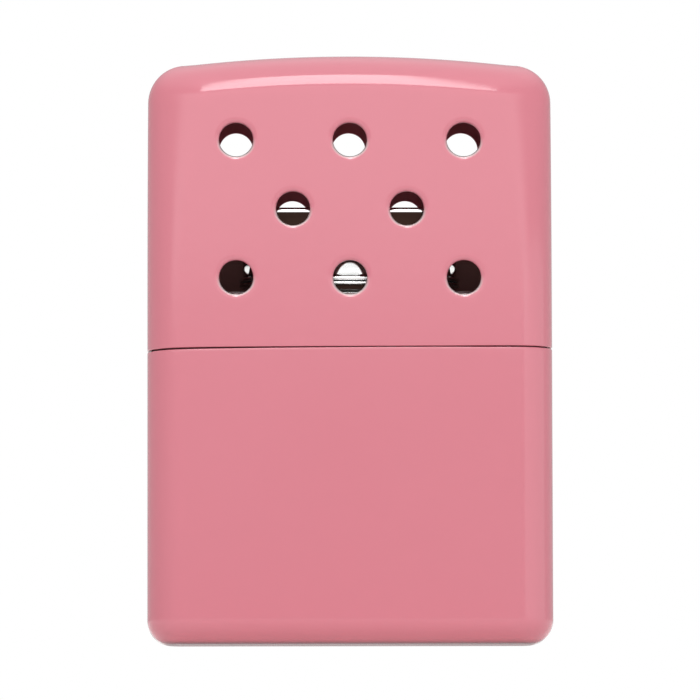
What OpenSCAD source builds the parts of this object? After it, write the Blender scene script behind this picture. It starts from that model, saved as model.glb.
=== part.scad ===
// Catalytic pocket hand warmer.
// A slip-on vented lid and a deep-drawn fuel case, both painted, close over a chrome tank top.
// The burner, with its catalyst pad, pushes onto the filler neck. Cotton in the case holds the fuel.
// Origin at the centre of the base, +Z up, front towards -Y. Millimetres.

/* [Body] */
// Overall width
body_w = 50.8; // [42:0.2:64]
// Overall thickness, front to back
body_t = 13; // [12.6:0.2:18]
// Overall height at the middle of the arched top
body_h = 74.1; // [61:0.1:95]
// Radius of the upright edges, seen from above
side_r = 4.2; // [3:0.1:5.5]
// Sheet thickness of the case and the lid
shell_wall = 0.6; // [0.4:0.05:0.8]

/* [Lower case] */
// Height of the case rim above the base
case_h = 36.8; // [30:0.2:45]
// Radius between the base and the walls
foot_r = 3; // [1.5:0.1:3.4]

/* [Lid] */
// Gap that shows between the case rim and the lid rim
seam_gap = 0.25; // [0.1:0.05:0.5]
// Radius of the arched top
crown_r = 176; // [120:1:400]
// Radius of the two top corners, seen from the front
shoulder_r = 4.8; // [3.5:0.1:7]
// Radius from the front and back faces to the top
crown_edge_r = 3.6; // [2:0.1:4]

/* [Vents] */
// Diameter of a vent hole
vent_d = 4.25; // [3:0.05:5]
// Distance between vents in a row
vent_pitch_x = 14.25; // [10:0.05:16]
// Distance between the rows of vents
vent_pitch_z = 8.65; // [6.5:0.05:10]
// Distance from the top of the lid to the upper row
vent_top_drop = 11; // [9:0.1:14]
// Least height of a row above the lid rim
vent_rise = 6; // [4:0.1:9]
// Lowest rows of vents that only the front has
front_only_rows = 1; // [0:1:2]

/* [Tank top] */
// Height of the chrome collar that the lid slides over
collar_h = 7.3; // [5:0.1:9]
// Depth of the collar inside the case
collar_depth = 8; // [4:0.1:12]
// Sheet thickness of the collar
collar_wall = 0.5; // [0.4:0.05:0.8]
// Radius between the collar deck and its walls
collar_edge_r = 0.9; // [0.6:0.1:1.5]

/* [Filler neck] */
// Length of the neck, outside
neck_w = 24.9; // [18:0.1:30]
// Width of the neck, outside
neck_t = 7; // [5.8:0.1:8.4]
// Height of the neck above the deck
neck_h = 5.35; // [4.5:0.05:7]
// Sheet thickness of the neck
neck_wall = 0.4; // [0.3:0.05:0.5]
// Width of the flange that holds the neck under the deck
neck_flange = 0.9; // [0.6:0.1:1.2]

/* [Burner] */
// Height of the burner housing above its rolled seam
burner_h = 8.8; // [7:0.1:12]
// Sheet thickness of the burner pieces
burner_wall = 0.35; // [0.25:0.05:0.45]
// Radius round the top of the housing
burner_edge_r = 0.6; // [0.6:0.1:1.4]
// How far the two seam flanges stand out
seam_flange = 0.6; // [0.4:0.05:0.8]
// Thickness of one seam flange
flange_t = 0.45; // [0.3:0.05:0.6]
// Gap under the burner, above the deck
burner_lift_gap = 0.9; // [0.6:0.05:1.2]
// Number of slots in the top of the housing
slot_count = 7; // [3:1:9]
// Width of a slot
slot_w = 1.7; // [1:0.1:2]
// Length of a slot
slot_l = 5; // [3.5:0.1:5.4]
// Distance between slots
slot_pitch = 2.9; // [2.3:0.1:3]
// Thickness of the perforated base plate
base_plate_t = 0.35; // [0.25:0.05:0.5]
// Diameter of a hole in the base plate
base_hole_d = 1.4; // [0.8:0.1:1.6]
// Distance between the holes in the base plate
base_hole_pitch = 2.1; // [2:0.1:2.6]
// Thickness of a wire screen
screen_t = 0.25; // [0.15:0.05:0.4]
// Opening of a wire screen
screen_open = 0.8; // [0.5:0.05:1]
// Wire width of a screen
screen_wire = 0.25; // [0.15:0.05:0.35]

/* [Filling] */
// Thickness of the felt in the neck
felt_t = 2.4; // [1.5:0.1:4]
// Width of the bar that holds the felt down
bar_w = 3; // [2:0.1:5]
// Thickness of that bar
bar_t = 0.4; // [0.25:0.05:0.6]
// Length of the legs of that bar
bar_leg = 1.6; // [0.8:0.1:2]

/* [Fits] */
// Gap between the lid and the collar, each side
lid_fit = 0.1; // [0.05:0.01:0.15]
// Gap between the burner and the neck, each side
burner_fit = 0.1; // [0.05:0.01:0.12]
// Gap between sheet pieces that are joined or stacked
joint_gap = 0.05; // [0.02:0.01:0.08]
// Gap around the soft pieces
soft_gap = 0.3; // [0.2:0.05:0.5]

/* [Hidden] */

// Smoothness of every round surface, and of the arched top
$fn = 96;
arch_fn = 720;
// How far a cutter runs past the face that it opens
cut = 1;
// How far the arched top is swept past the sides of the lid, in degrees
sweep_spare = 6;
// How far the front outline of the lid stands above the arched top, which trims it
arch_spare = 0.02;

// Lid
lid_z = case_h + seam_gap;
crown_z = body_h - crown_r;
vent_rows = floor((body_h - lid_z - vent_top_drop - vent_rise) / vent_pitch_z) + 1;
back_rows = max(1, vent_rows - front_only_rows);

// Collar: it fits the lid, and the case has the same inside size as the lid
collar_inset = shell_wall + lid_fit;
collar_w = body_w - 2 * collar_inset;
collar_t = body_t - 2 * collar_inset;
collar_r = side_r - collar_inset;
deck_z = case_h + collar_h;
collar_z = case_h - collar_depth;
solder_h = 0.8;
solder_reach = 1;

// Neck
neck_top_z = deck_z + neck_h;
neck_in_t = neck_t - 2 * neck_wall;
neck_in_w = neck_w - 2 * neck_wall;
neck_flange_t = neck_wall;
neck_bottom_z = deck_z - collar_wall - joint_gap - neck_flange_t;
neck_solder_w = 0.45;
neck_solder_h = 0.35;

// Burner, from the neck outwards
ferrule_in_t = neck_t + 2 * burner_fit;
ferrule_in_w = neck_w + 2 * burner_fit;
housing_in_t = ferrule_in_t + 2 * (burner_wall + joint_gap);
housing_in_w = ferrule_in_w + 2 * (burner_wall + joint_gap);
burner_t = housing_in_t + 2 * burner_wall;
burner_w = housing_in_w + 2 * burner_wall;
flange_out_t = burner_t + 2 * seam_flange;
flange_out_w = burner_w + 2 * seam_flange;
burner_z = deck_z + burner_lift_gap;
housing_z = burner_z + flange_t + joint_gap;
housing_top_z = housing_z + flange_t + burner_h;

// The stack inside the burner, from the base plate up
stack_w = housing_in_w - 2 * joint_gap;
stack_t = housing_in_t - 2 * joint_gap;
base_plate_z = neck_top_z + joint_gap;
lower_screen_z = base_plate_z + base_plate_t + joint_gap;
pad_z = lower_screen_z + screen_t + joint_gap;
upper_screen_z = housing_top_z - burner_wall - joint_gap - screen_t;
pad_h = upper_screen_z - joint_gap - pad_z;
pad_inset = soft_gap / 2 - joint_gap;

// Filling
felt_gap = neck_wall + soft_gap / 2;
bar_z = deck_z + neck_wall;
felt_top_z = bar_z - joint_gap;
felt_z = felt_top_z - felt_t;
felt_w = neck_in_w - 2 * felt_gap;
felt_width = neck_in_t - 2 * felt_gap;
cotton_z = shell_wall + soft_gap;
cotton_step_z = collar_z - solder_h - soft_gap;
cotton_top_z = min(felt_z, neck_bottom_z) - joint_gap;

// ---------- outlines ----------

// A rectangle with round corners, centred
module round_rect(w, t, r) {
    square([w, t - 2 * r], center = true);
    square([w - 2 * r, t], center = true);
    for (x = [-1, 1], y = [-1, 1])
        translate([x * (w / 2 - r), y * (t / 2 - r)])
            circle(r);
}

// An oblong with fully round ends, centred
module oblong(w, t) {
    square([w - t, t], center = true);
    for (x = [-1, 1])
        translate([x * (w - t) / 2, 0])
            circle(t / 2);
}

// Upright section of a block: square at the top, with radius f at its lower outer edge
module foot_section(half, h, f) {
    square([half - f, h]);
    translate([0, f])
        square([half, h - f]);
    translate([half - f, f])
        intersection() {
            circle(f);
            translate([0, -f])
                square([f, 2 * f]);
        }
}

// ---------- solids ----------

// A block with upright edges of radius r and a radius f all round its base
module foot_block(w, t, h, r, f) {
    for (x = [-1, 1], y = [-1, 1])
        translate([x * (w / 2 - r), y * (t / 2 - r), 0])
            rotate_extrude()
                foot_section(r, h, f);
    for (s = [0, 1])
        mirror([0, s, 0])
            rotate([90, 0, 90])
                linear_extrude(w - 2 * r, center = true)
                    foot_section(t / 2, h, f);
    for (s = [0, 1])
        mirror([s, 0, 0])
            rotate([90, 0, 0])
                linear_extrude(t - 2 * r, center = true)
                    foot_section(w / 2, h, f);
}

// The same block turned over: the radius is round its top, at height h
module deck_block(w, t, h, r, f) {
    translate([0, 0, h])
        mirror([0, 0, 1])
            foot_block(w, t, h, r, f);
}

// An upright oblong block with a radius f round its top
module oblong_deck(w, t, h, f) {
    translate([0, 0, h])
        mirror([0, 0, 1]) {
            for (x = [-1, 1])
                translate([x * (w - t) / 2, 0, 0])
                    rotate_extrude()
                        foot_section(t / 2, h, f);
            for (s = [0, 1])
                mirror([0, s, 0])
                    rotate([90, 0, 90])
                        linear_extrude(w - t, center = true)
                            foot_section(t / 2, h, f);
        }
}

// A straight oblong tube
module oblong_tube(w, t, wall, h) {
    linear_extrude(h)
        difference() {
            oblong(w, t);
            oblong(w - 2 * wall, t - 2 * wall);
        }
}

// Front outline of the lid: straight sides, round shoulders and an arched top, set in by d
module lid_front(d) {
    half = body_w / 2 - d;
    arch = crown_r - d;
    corner = shoulder_r - d;
    corner_x = half - corner;
    corner_z = crown_z + sqrt(pow(arch - corner, 2) - pow(corner_x, 2));
    joint_x = corner_x * arch / (arch - corner);
    translate([-half, lid_z - cut])
        square([2 * half, corner_z - lid_z + cut]);
    for (x = [-1, 1])
        translate([x * corner_x, corner_z])
            circle(corner);
    intersection() {
        translate([0, crown_z])
            circle(arch + arch_spare, $fn = arch_fn);
        translate([-joint_x, corner_z - cut])
            square([2 * joint_x, body_h]);
    }
}

// Section of the lid across its thickness, drawn outwards from the centre of the arched top
module lid_side(d) {
    half = body_t / 2 - d;
    arch = crown_r - d;
    edge = crown_edge_r - d;
    low = lid_z - 2 * cut - crown_z;
    translate([low, -half])
        square([arch - edge - low, 2 * half]);
    translate([low, -half + edge])
        square([arch - low, 2 * (half - edge)]);
    for (y = [-1, 1])
        translate([arch - edge, y * (half - edge)])
            circle(edge);
}

// Solid shape of the lid, set in by d on every side
module lid_form(d) {
    half_angle = asin(body_w / 2 / (lid_z - cut - crown_z)) + sweep_spare;
    intersection() {
        translate([0, 0, lid_z - cut])
            linear_extrude(body_h - lid_z + 2 * cut)
                round_rect(body_w - 2 * d, body_t - 2 * d, side_r - d);
        rotate([90, 0, 0])
            linear_extrude(body_t + 2 * cut, center = true)
                lid_front(d);
        translate([0, 0, crown_z])
            rotate([90, 0, 0])
                rotate([0, 0, 90 - half_angle])
                    rotate_extrude(angle = 2 * half_angle, $fn = arch_fn)
                        lid_side(d);
    }
}

// Places its child at each vent: rows of three and two by turns, from the top down
module at_vents(rows) {
    for (row = [0 : rows - 1])
        for (column = row % 2 == 1 ? [-0.5, 0.5] : [-1, 0, 1])
            translate([column * vent_pitch_x, 0, body_h - vent_top_drop - row * vent_pitch_z])
                children();
}

// A wire screen, an oblong plate with square openings, set in by d from the burner stack
module screen(d) {
    step = screen_open + screen_wire;
    columns = floor((stack_w - stack_t) / 2 / step);
    rows = floor((stack_t / 2 - d - screen_wire - screen_open / 2) / step);
    linear_extrude(screen_t)
        difference() {
            oblong(stack_w - 2 * d, stack_t - 2 * d);
            for (i = [-columns : columns], j = [-rows : rows])
                translate([i * step, j * step])
                    square(screen_open, center = true);
        }
}

// ---------- sub-parts: tank ----------

// Deep-drawn outer case that holds the fuel
module lower_case() {
    color("#de8896")
        difference() {
            foot_block(body_w, body_t, case_h, side_r, foot_r);
            translate([0, 0, shell_wall])
                foot_block(
                    body_w - 2 * shell_wall, body_t - 2 * shell_wall, case_h + cut,
                    side_r - shell_wall, foot_r - shell_wall
                );
        }
}

// Chrome insert that closes the case and guides the lid
module tank_collar() {
    color("#c9cacc")
        translate([0, 0, collar_z])
            difference() {
                deck_block(collar_w, collar_t, deck_z - collar_z, collar_r, collar_edge_r);
                translate([0, 0, -cut])
                    deck_block(
                        collar_w - 2 * collar_wall, collar_t - 2 * collar_wall,
                        deck_z - collar_z - collar_wall + cut,
                        collar_r - collar_wall, collar_edge_r - collar_wall
                    );
                translate([0, 0, deck_z - collar_z - collar_wall - cut])
                    linear_extrude(collar_wall + 2 * cut)
                        oblong(neck_w + 2 * joint_gap, neck_t + 2 * joint_gap);
            }
}

// Solder that seals the lower edge of the collar to the case
module collar_solder() {
    color("#9b9da0")
        translate([0, 0, collar_z - joint_gap - solder_h])
            linear_extrude(solder_h)
                difference() {
                    round_rect(collar_w, collar_t, collar_r);
                    round_rect(
                        collar_w - 2 * solder_reach, collar_t - 2 * solder_reach,
                        collar_r - solder_reach
                    );
                }
}

// Oblong mouth of the tank: a ferrule with a flange under the deck
module filler_neck() {
    color("#c9cacc") {
        translate([0, 0, neck_bottom_z])
            oblong_tube(neck_w, neck_t, neck_wall, neck_top_z - neck_bottom_z);
        translate([0, 0, neck_bottom_z])
            oblong_tube(
                neck_w + 2 * neck_flange, neck_t + 2 * neck_flange,
                neck_wall + neck_flange, neck_flange_t
            );
    }
}

// Solder round the foot of the neck
module neck_solder() {
    color("#9b9da0")
        translate([0, 0, deck_z + joint_gap / 2])
            oblong_tube(
                neck_w + joint_gap + 2 * neck_solder_w, neck_t + joint_gap + 2 * neck_solder_w,
                neck_solder_w, neck_solder_h
            );
}

// Cotton that soaks up the fuel
module cotton_wadding() {
    low_inset = shell_wall + soft_gap;
    high_inset = collar_inset + max(collar_wall, solder_reach) + soft_gap;
    color("#f1efe6") {
        translate([0, 0, cotton_z])
            foot_block(
                body_w - 2 * low_inset, body_t - 2 * low_inset, cotton_step_z - cotton_z,
                side_r - low_inset, foot_r - low_inset
            );
        translate([0, 0, cotton_step_z - cut])
            linear_extrude(cotton_top_z - cotton_step_z + cut)
                round_rect(
                    body_w - 2 * high_inset, body_t - 2 * high_inset, side_r - high_inset
                );
    }
}

// Felt that closes the mouth over the cotton
module wick_felt() {
    color("#ded9cc")
        translate([0, 0, felt_z])
            linear_extrude(felt_t)
                oblong(felt_w, felt_width);
}

// Flat bar across the neck, with two legs spot-welded to its walls, that holds the felt down
module felt_bar() {
    span = neck_in_t - 2 * joint_gap;
    color("#b9babc")
        translate([0, 0, bar_z]) {
            translate([-bar_w / 2, -span / 2, 0])
                cube([bar_w, span, bar_t]);
            for (s = [0, 1])
                mirror([0, s, 0])
                    translate([-bar_w / 2, span / 2 - bar_t, -bar_leg])
                        cube([bar_w, bar_t, bar_leg + bar_t]);
        }
}

// ---------- sub-parts: lid ----------

// Drawn lid with vents through the front and, apart from the lowest row, through the back
module vented_lid() {
    color("#de8896")
        difference() {
            lid_form(0);
            lid_form(shell_wall);
            translate([-body_w, -body_t, lid_z - 2 * cut])
                cube([2 * body_w, 2 * body_t, 2 * cut]);
            at_vents(vent_rows)
                rotate([90, 0, 0])
                    cylinder(d = vent_d, h = body_t / 2 + cut);
            at_vents(back_rows)
                rotate([-90, 0, 0])
                    cylinder(d = vent_d, h = body_t / 2 + cut);
        }
}

// ---------- sub-parts: burner ----------

// Polished housing with slots over the catalyst and a flange at its foot
module burner_housing() {
    color("#d3d4d6")
        translate([0, 0, housing_z])
            difference() {
                union() {
                    oblong_deck(burner_w, burner_t, housing_top_z - housing_z, burner_edge_r);
                    linear_extrude(flange_t)
                        oblong(flange_out_w, flange_out_t);
                }
                translate([0, 0, -cut])
                    oblong_deck(
                        housing_in_w, housing_in_t, housing_top_z - housing_z - burner_wall + cut,
                        burner_edge_r - burner_wall
                    );
                for (i = [0 : slot_count - 1])
                    translate([(i - (slot_count - 1) / 2) * slot_pitch, 0, burner_h])
                        rotate([0, 0, 90])
                            linear_extrude(flange_t + cut)
                                oblong(slot_l, slot_w);
            }
}

// Ferrule inside the housing that slides over the neck, with the lower flange of the seam
module burner_ferrule() {
    color("#c3c4c6")
        translate([0, 0, burner_z]) {
            oblong_tube(
                ferrule_in_w + 2 * burner_wall, ferrule_in_t + 2 * burner_wall,
                burner_wall, neck_top_z - burner_z
            );
            oblong_tube(
                flange_out_w, flange_out_t,
                (flange_out_t - ferrule_in_t) / 2, flange_t
            );
        }
}

// Perforated plate that lets the fuel vapour up into the catalyst
module burner_base_plate() {
    columns = floor((stack_w - stack_t) / 2 / base_hole_pitch);
    rows = floor((neck_in_t - base_hole_d) / 2 / base_hole_pitch);
    color("#b4b5b7")
        translate([0, 0, base_plate_z])
            linear_extrude(base_plate_t)
                difference() {
                    oblong(stack_w, stack_t);
                    for (i = [-columns : columns], j = [-rows : rows])
                        translate([i, j] * base_hole_pitch)
                            circle(d = base_hole_d);
                }
}

// Wire screen under the catalyst
module lower_screen() {
    color("#a7a8aa")
        translate([0, 0, lower_screen_z])
            screen(0);
}

// Wire screen over the catalyst
module upper_screen() {
    color("#a7a8aa")
        translate([0, 0, upper_screen_z])
            screen(burner_edge_r - burner_wall);
}

// Platinum-coated glass-fibre wool
module catalyst_pad() {
    color("#8f8d88")
        translate([0, 0, pad_z])
            linear_extrude(pad_h)
                oblong(stack_w - 2 * pad_inset, stack_t - 2 * pad_inset);
}

lower_case();
tank_collar();
filler_neck();
collar_solder();
neck_solder();
cotton_wadding();
wick_felt();
felt_bar();
vented_lid();
burner_housing();
burner_ferrule();
burner_base_plate();
lower_screen();
upper_screen();
catalyst_pad();
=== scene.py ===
# %% [markdown]
# # A catalytic hand warmer
# The warmer has a painted lid and fuel case over a chrome tank top. Inside sits a burner with a pad of
# platinum-coated fibre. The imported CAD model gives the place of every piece. This file builds the
# detailed skin, wire and fibre around it, and gives each surface its own material.

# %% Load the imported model
import math

import bmesh
import bpy
import numpy as np
from mathutils import Matrix, Vector, noise


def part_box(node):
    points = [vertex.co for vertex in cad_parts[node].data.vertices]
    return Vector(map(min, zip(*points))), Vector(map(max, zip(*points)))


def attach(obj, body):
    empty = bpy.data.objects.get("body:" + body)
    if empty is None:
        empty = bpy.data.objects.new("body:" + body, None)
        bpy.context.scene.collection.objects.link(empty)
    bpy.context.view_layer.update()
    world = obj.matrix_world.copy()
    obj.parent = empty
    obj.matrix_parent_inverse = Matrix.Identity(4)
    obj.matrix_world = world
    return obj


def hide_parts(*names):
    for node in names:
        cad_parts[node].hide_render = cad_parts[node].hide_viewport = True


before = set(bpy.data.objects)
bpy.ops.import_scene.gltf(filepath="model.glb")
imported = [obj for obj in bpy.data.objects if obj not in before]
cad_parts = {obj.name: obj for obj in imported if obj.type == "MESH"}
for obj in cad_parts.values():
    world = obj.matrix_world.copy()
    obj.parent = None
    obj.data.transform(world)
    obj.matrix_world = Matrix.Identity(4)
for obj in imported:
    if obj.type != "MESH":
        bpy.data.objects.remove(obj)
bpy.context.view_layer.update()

# %% [markdown]
# ## The camera
# The product was photographed with a long lens, from a little below its middle. A long lens keeps
# the sides nearly parallel. The place of the camera was found from the vents, which can be seen in
# the front wall and, through it, in the back wall. It lies below the level of the floor.

# %% Camera
MM = 0.001
TARGET = Vector((-0.038, -6.5, 36.6)) * MM
DISTANCE = 898.2 * MM
AZIMUTH, ELEVATION, ROLL = (math.radians(a) for a in (-0.822, -4.717, -0.123))
LENS = 369.78

backward = Vector((
    math.sin(AZIMUTH) * math.cos(ELEVATION),
    -math.cos(AZIMUTH) * math.cos(ELEVATION),
    math.sin(ELEVATION),
))
right = (-backward).cross(Vector((0, 0, 1))).normalized()
up = right.cross(-backward)
tilted_right = right * math.cos(ROLL) + up * math.sin(ROLL)
tilted_up = up * math.cos(ROLL) - right * math.sin(ROLL)
camera = bpy.data.objects.new("camera", bpy.data.cameras.new("camera"))
bpy.context.scene.collection.objects.link(camera)
camera.data.lens = LENS
camera.data.sensor_width = 36
camera.data.sensor_fit = "HORIZONTAL"
camera.data.clip_start = 0.05
camera.data.clip_end = 50
axes = Matrix((tilted_right, tilted_up, backward)).transposed()
camera.matrix_world = Matrix.Translation(TARGET + backward * DISTANCE) @ axes.to_4x4()
bpy.context.scene.camera = camera
bpy.context.scene.view_settings.view_transform = "Standard"
print("camera at", [round(v, 4) for v in camera.matrix_world.translation])

# %% [markdown]
# ## Two helpers for materials
# Colours are written as the hex codes that a paint program shows, and one function turns them into
# the linear values that a renderer adds up. One more function adds a node with its settings and
# its links, so that a material reads as a list of steps.

# %% Colour and node helpers
def linear(code):
    """Linear colour from an sRGB hex code."""
    parts = [int(code[i:i + 2], 16) / 255 for i in (1, 3, 5)]
    values = [c / 12.92 if c <= 0.04045 else ((c + 0.055) / 1.055) ** 2.4 for c in parts]
    return (*values, 1.0)


def add(tree, kind, inputs=None, **settings):
    """Adds a node. An input takes a value, an output, a node for its first output, or a list to join."""
    made = tree.nodes.new(kind)
    for name, value in settings.items():
        setattr(made, name, value)
    for key, given in (inputs or {}).items():
        for source in given if isinstance(given, list) else [given]:
            if isinstance(source, bpy.types.Node):
                source = next(output for output in source.outputs if output.enabled)
            if isinstance(source, bpy.types.NodeSocket):
                tree.links.new(source, made.inputs[key])
            else:
                made.inputs[key].default_value = source
    return made


def new_material(name):
    """An empty material and its node tree."""
    material = bpy.data.materials.new(name)
    material.use_nodes = True
    material.node_tree.nodes.clear()
    print("material:", name)
    return material, material.node_tree


print("one pink as linear:", [round(v, 3) for v in linear("#de8895")])

# %% [markdown]
# ## Floor, world and lamps
# A product table gives even, soft light. One large softbox above the camera draws the long bright
# line along the top edge of the lid, and a dim one at the right lifts that side. The floor is pale
# and keeps the shadow. Seen from beneath it lets light through, because the camera stands lower
# than the floor. The world is white where it is seen, and plain grey where it lights the object. For
# the gloss it also holds the mirror images of the softbox and of a large card in front, because their
# edges and fades can be set there to a degree.

# %% Floor
FLOOR_LIFT, FLOOR_SHINE = 0.22, 0.45


def pale_floor():
    """Matt floor that fades to white away from the object and can't be seen from beneath."""
    material, tree = new_material("matt_paper_floor")
    place = add(tree, "ShaderNodeTexCoord")
    reach = add(tree, "ShaderNodeVectorMath", {0: place.outputs["Object"]}, operation="LENGTH")
    far = add(tree, "ShaderNodeMapRange", {
        "Value": reach, "From Min": 0.12, "From Max": 0.45,
    }, interpolation_type="SMOOTHSTEP")
    grain = add(tree, "ShaderNodeTexNoise", {"Scale": 900.0, "Detail": 3.0})
    bump = add(tree, "ShaderNodeBump", {"Height": grain, "Strength": 0.05, "Distance": 0.0002})
    path = add(tree, "ShaderNodeLightPath")
    seen = add(tree, "ShaderNodeMath", {
        0: path.outputs["Is Camera Ray"], 1: path.outputs["Is Glossy Ray"],
    }, operation="MAXIMUM")
    paper = add(tree, "ShaderNodeBsdfDiffuse", {"Color": linear("#f4f4f2"), "Normal": bump})
    lift = add(tree, "ShaderNodeMath", {
        0: path.outputs["Is Camera Ray"], 1: FLOOR_LIFT,
    }, operation="MULTIPLY")
    shine = add(tree, "ShaderNodeMath", {
        0: path.outputs["Is Glossy Ray"], 1: FLOOR_SHINE, 2: lift,
    }, operation="MULTIPLY_ADD")
    glow = add(tree, "ShaderNodeEmission", {"Color": (1, 1, 1, 1), "Strength": shine})
    near = add(tree, "ShaderNodeAddShader", {0: paper, 1: glow})
    white = add(tree, "ShaderNodeEmission", {"Color": (1, 1, 1, 1), "Strength": 1.0})
    only_seen = add(tree, "ShaderNodeMath", {0: far, 1: seen}, operation="MULTIPLY")
    top = add(tree, "ShaderNodeMixShader", {0: only_seen, 1: near, 2: white})
    through = add(tree, "ShaderNodeBsdfTransparent")
    side = add(tree, "ShaderNodeNewGeometry")
    both = add(tree, "ShaderNodeMixShader", {0: side.outputs["Backfacing"], 1: top, 2: through})
    add(tree, "ShaderNodeOutputMaterial", {"Surface": both})
    return material


def square_sheet(name, half):
    """A flat square on the ground, face up."""
    mesh = bpy.data.meshes.new(name)
    corners = [(-half, -half, 0), (half, -half, 0), (half, half, 0), (-half, half, 0)]
    mesh.from_pydata(corners, [], [(0, 1, 2, 3)])
    made = bpy.data.objects.new(name, mesh)
    bpy.context.scene.collection.objects.link(made)
    return made


floor = square_sheet("floor", 6.0)
floor.data.materials.append(pale_floor())

# %% World
FRONT_LEVEL, BACK_LEVEL = 0.42, 0.66
FRONT_SHINE, SIDE_SHINE = 0.78, 0.62
OVERHEAD, CARD, BRIGHT_BOX = 0.62, 0.97, 6.0
CARD_RISES, CARD_FALLS, CARD_ENDS = (0.080, 0.103), (0.40, 0.50), (0.34, 0.66)
BOX_RISES, BOX_FALLS, BOX_ENDS = (0.500, 0.515), (0.850, 0.864), (0.07, 0.15)

world = bpy.data.worlds.new("studio")
bpy.context.scene.world = world
world.use_nodes = True
world.node_tree.nodes.clear()
room = world.node_tree
path = add(room, "ShaderNodeLightPath")
look = add(room, "ShaderNodeTexCoord")
way = add(room, "ShaderNodeSeparateXYZ", {0: look.outputs["Generated"]})
aside = add(room, "ShaderNodeMath", {0: way.outputs["X"]}, operation="ABSOLUTE")


def patch(*edges):
    """A patch of light, from smooth steps: a part of the direction, where it changes, and its levels."""
    light = None
    for value, start, end, low, high in edges:
        edge = add(room, "ShaderNodeMapRange", {
            "Value": value, "From Min": start, "From Max": end, "To Min": low, "To Max": high,
        }, interpolation_type="SMOOTHSTEP")
        light = edge if light is None else add(room, "ShaderNodeMath", {0: light, 1: edge},
                                               operation="MULTIPLY")
    return light


# a large pale card in front fills the mirror of the lid's flat front, from 4.6 degrees upwards
card = patch(
    (way.outputs["Z"], *CARD_RISES, 0.0, CARD), (way.outputs["Z"], *CARD_FALLS, 1.0, 0.0),
    (aside, *CARD_ENDS, 1.0, 0.0), (way.outputs["Y"], -0.5, -0.3, 1.0, 0.0),
)
# the mirror image of the large softbox: sharp above and below, faded at its two ends
forward = add(room, "ShaderNodeMath", {0: way.outputs["Y"], 1: -1.0}, operation="MULTIPLY")
sideways = add(room, "ShaderNodeMath", {0: aside, 1: forward}, operation="DIVIDE")
bright_box = patch(
    (way.outputs["Z"], *BOX_RISES, 0.0, BRIGHT_BOX), (way.outputs["Z"], *BOX_FALLS, 1.0, 0.0),
    (sideways, *BOX_ENDS, 1.0, 0.0), (forward, 0.05, 0.15, 0.0, 1.0),
)
overhead = patch((way.outputs["Z"], 0.55, 0.95, 0.0, OVERHEAD))
sheen = patch((way.outputs["Y"], -0.9, -0.1, FRONT_SHINE, SIDE_SHINE))
for light in (card, bright_box, overhead):
    sheen = add(room, "ShaderNodeMath", {0: sheen, 1: light}, operation="ADD")
level = patch((way.outputs["Y"], -0.7, 0.9, FRONT_LEVEL, BACK_LEVEL))
strength = add(room, "ShaderNodeMix", {
    "Factor": path.outputs["Is Glossy Ray"], "A": level, "B": sheen,
}, data_type="FLOAT")
plain = add(room, "ShaderNodeBackground", {"Color": (1, 1, 1, 1), "Strength": strength})
white = add(room, "ShaderNodeBackground", {"Color": (1, 1, 1, 1), "Strength": 1.0})
seen = add(room, "ShaderNodeMath", {
    0: path.outputs["Is Camera Ray"], 1: path.outputs["Is Transmission Ray"],
}, operation="MAXIMUM")
both = add(room, "ShaderNodeMixShader", {0: seen, 1: plain, 2: white})
add(room, "ShaderNodeOutputWorld", {"Surface": both})
print("world levels, front to back:", FRONT_LEVEL, BACK_LEVEL)


# %% Softboxes
def softbox(name, azimuth, elevations, half_width, distance, radiance):
    """A soft lamp between two heights in degrees. Radiance 1 looks as bright as white paper."""
    low, high = elevations
    middle = (low + high) / 2
    lamp = bpy.data.lights.new(name, "AREA")
    lamp.shape = "RECTANGLE"
    lamp.size = 2 * distance * math.tan(math.radians(half_width))
    lamp.size_y = 2 * distance * math.tan(math.radians((high - low) / 2))
    lamp.energy = radiance * math.pi * lamp.size * lamp.size_y
    made = bpy.data.objects.new(name, lamp)
    a, e = math.radians(azimuth), math.radians(middle)
    away = Vector((math.sin(a) * math.cos(e), -math.cos(a) * math.cos(e), math.sin(e)))
    made.location = Vector((0, 0, 0.045)) + away * distance
    made.rotation_euler = away.to_track_quat("Z", "Y").to_euler()
    made.visible_camera = False
    bpy.context.scene.collection.objects.link(made)
    return made


upper = softbox("upper_softbox", 0, (30.5, 59), 14.2, 0.9, 6.2)
upper.visible_glossy = False    # its mirror image is in the world
softbox("right_card", 56, (-2, 7), 38, 1.0, 0.65)

# %% [markdown]
# ## Sheet-metal outlines
# Every metal piece here is drawn from sheet, so each is a stack of outlines seen from above: a box
# with round corners, or an oblong with round ends. One list of stations round the outline serves
# them all. A station says which straight side it belongs to and which way the metal faces there, so
# a thinner or smaller outline has matching points, and a wall is just two such outlines joined.

# %% Stations round an outline
ACROSS, ALONG_SIDE, TURN = 24, 4, 18


def stations():
    """Side shares and facing directions of the points round an outline, and how many make half of it."""
    turn = [i / TURN * math.pi / 2 for i in range(TURN)]
    parts = [
        [((2 * i / ACROSS - 1, -1), (0, -1)) for i in range(ACROSS)],
        [((1, -1), (math.sin(a), -math.cos(a))) for a in turn],
        [((1, 2 * i / ALONG_SIDE - 1), (1, 0)) for i in range(ALONG_SIDE)],
        [((1, 1), (math.cos(a), math.sin(a))) for a in turn],
    ]
    half = [point for part in parts for point in part]
    other = [((-u[0], -u[1]), (-c[0], -c[1])) for u, c in half]
    points = half + other
    return np.array([p[0] for p in points]), np.array([p[1] for p in points]), len(half)


SHARE, FACING, HALF_WAY = stations()
COUNT = len(SHARE)


def outline(half_x, half_y, radius):
    """Points of a round-cornered box or an oblong, seen from above."""
    return SHARE * np.array([half_x - radius, half_y - radius]) + FACING * radius


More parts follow.
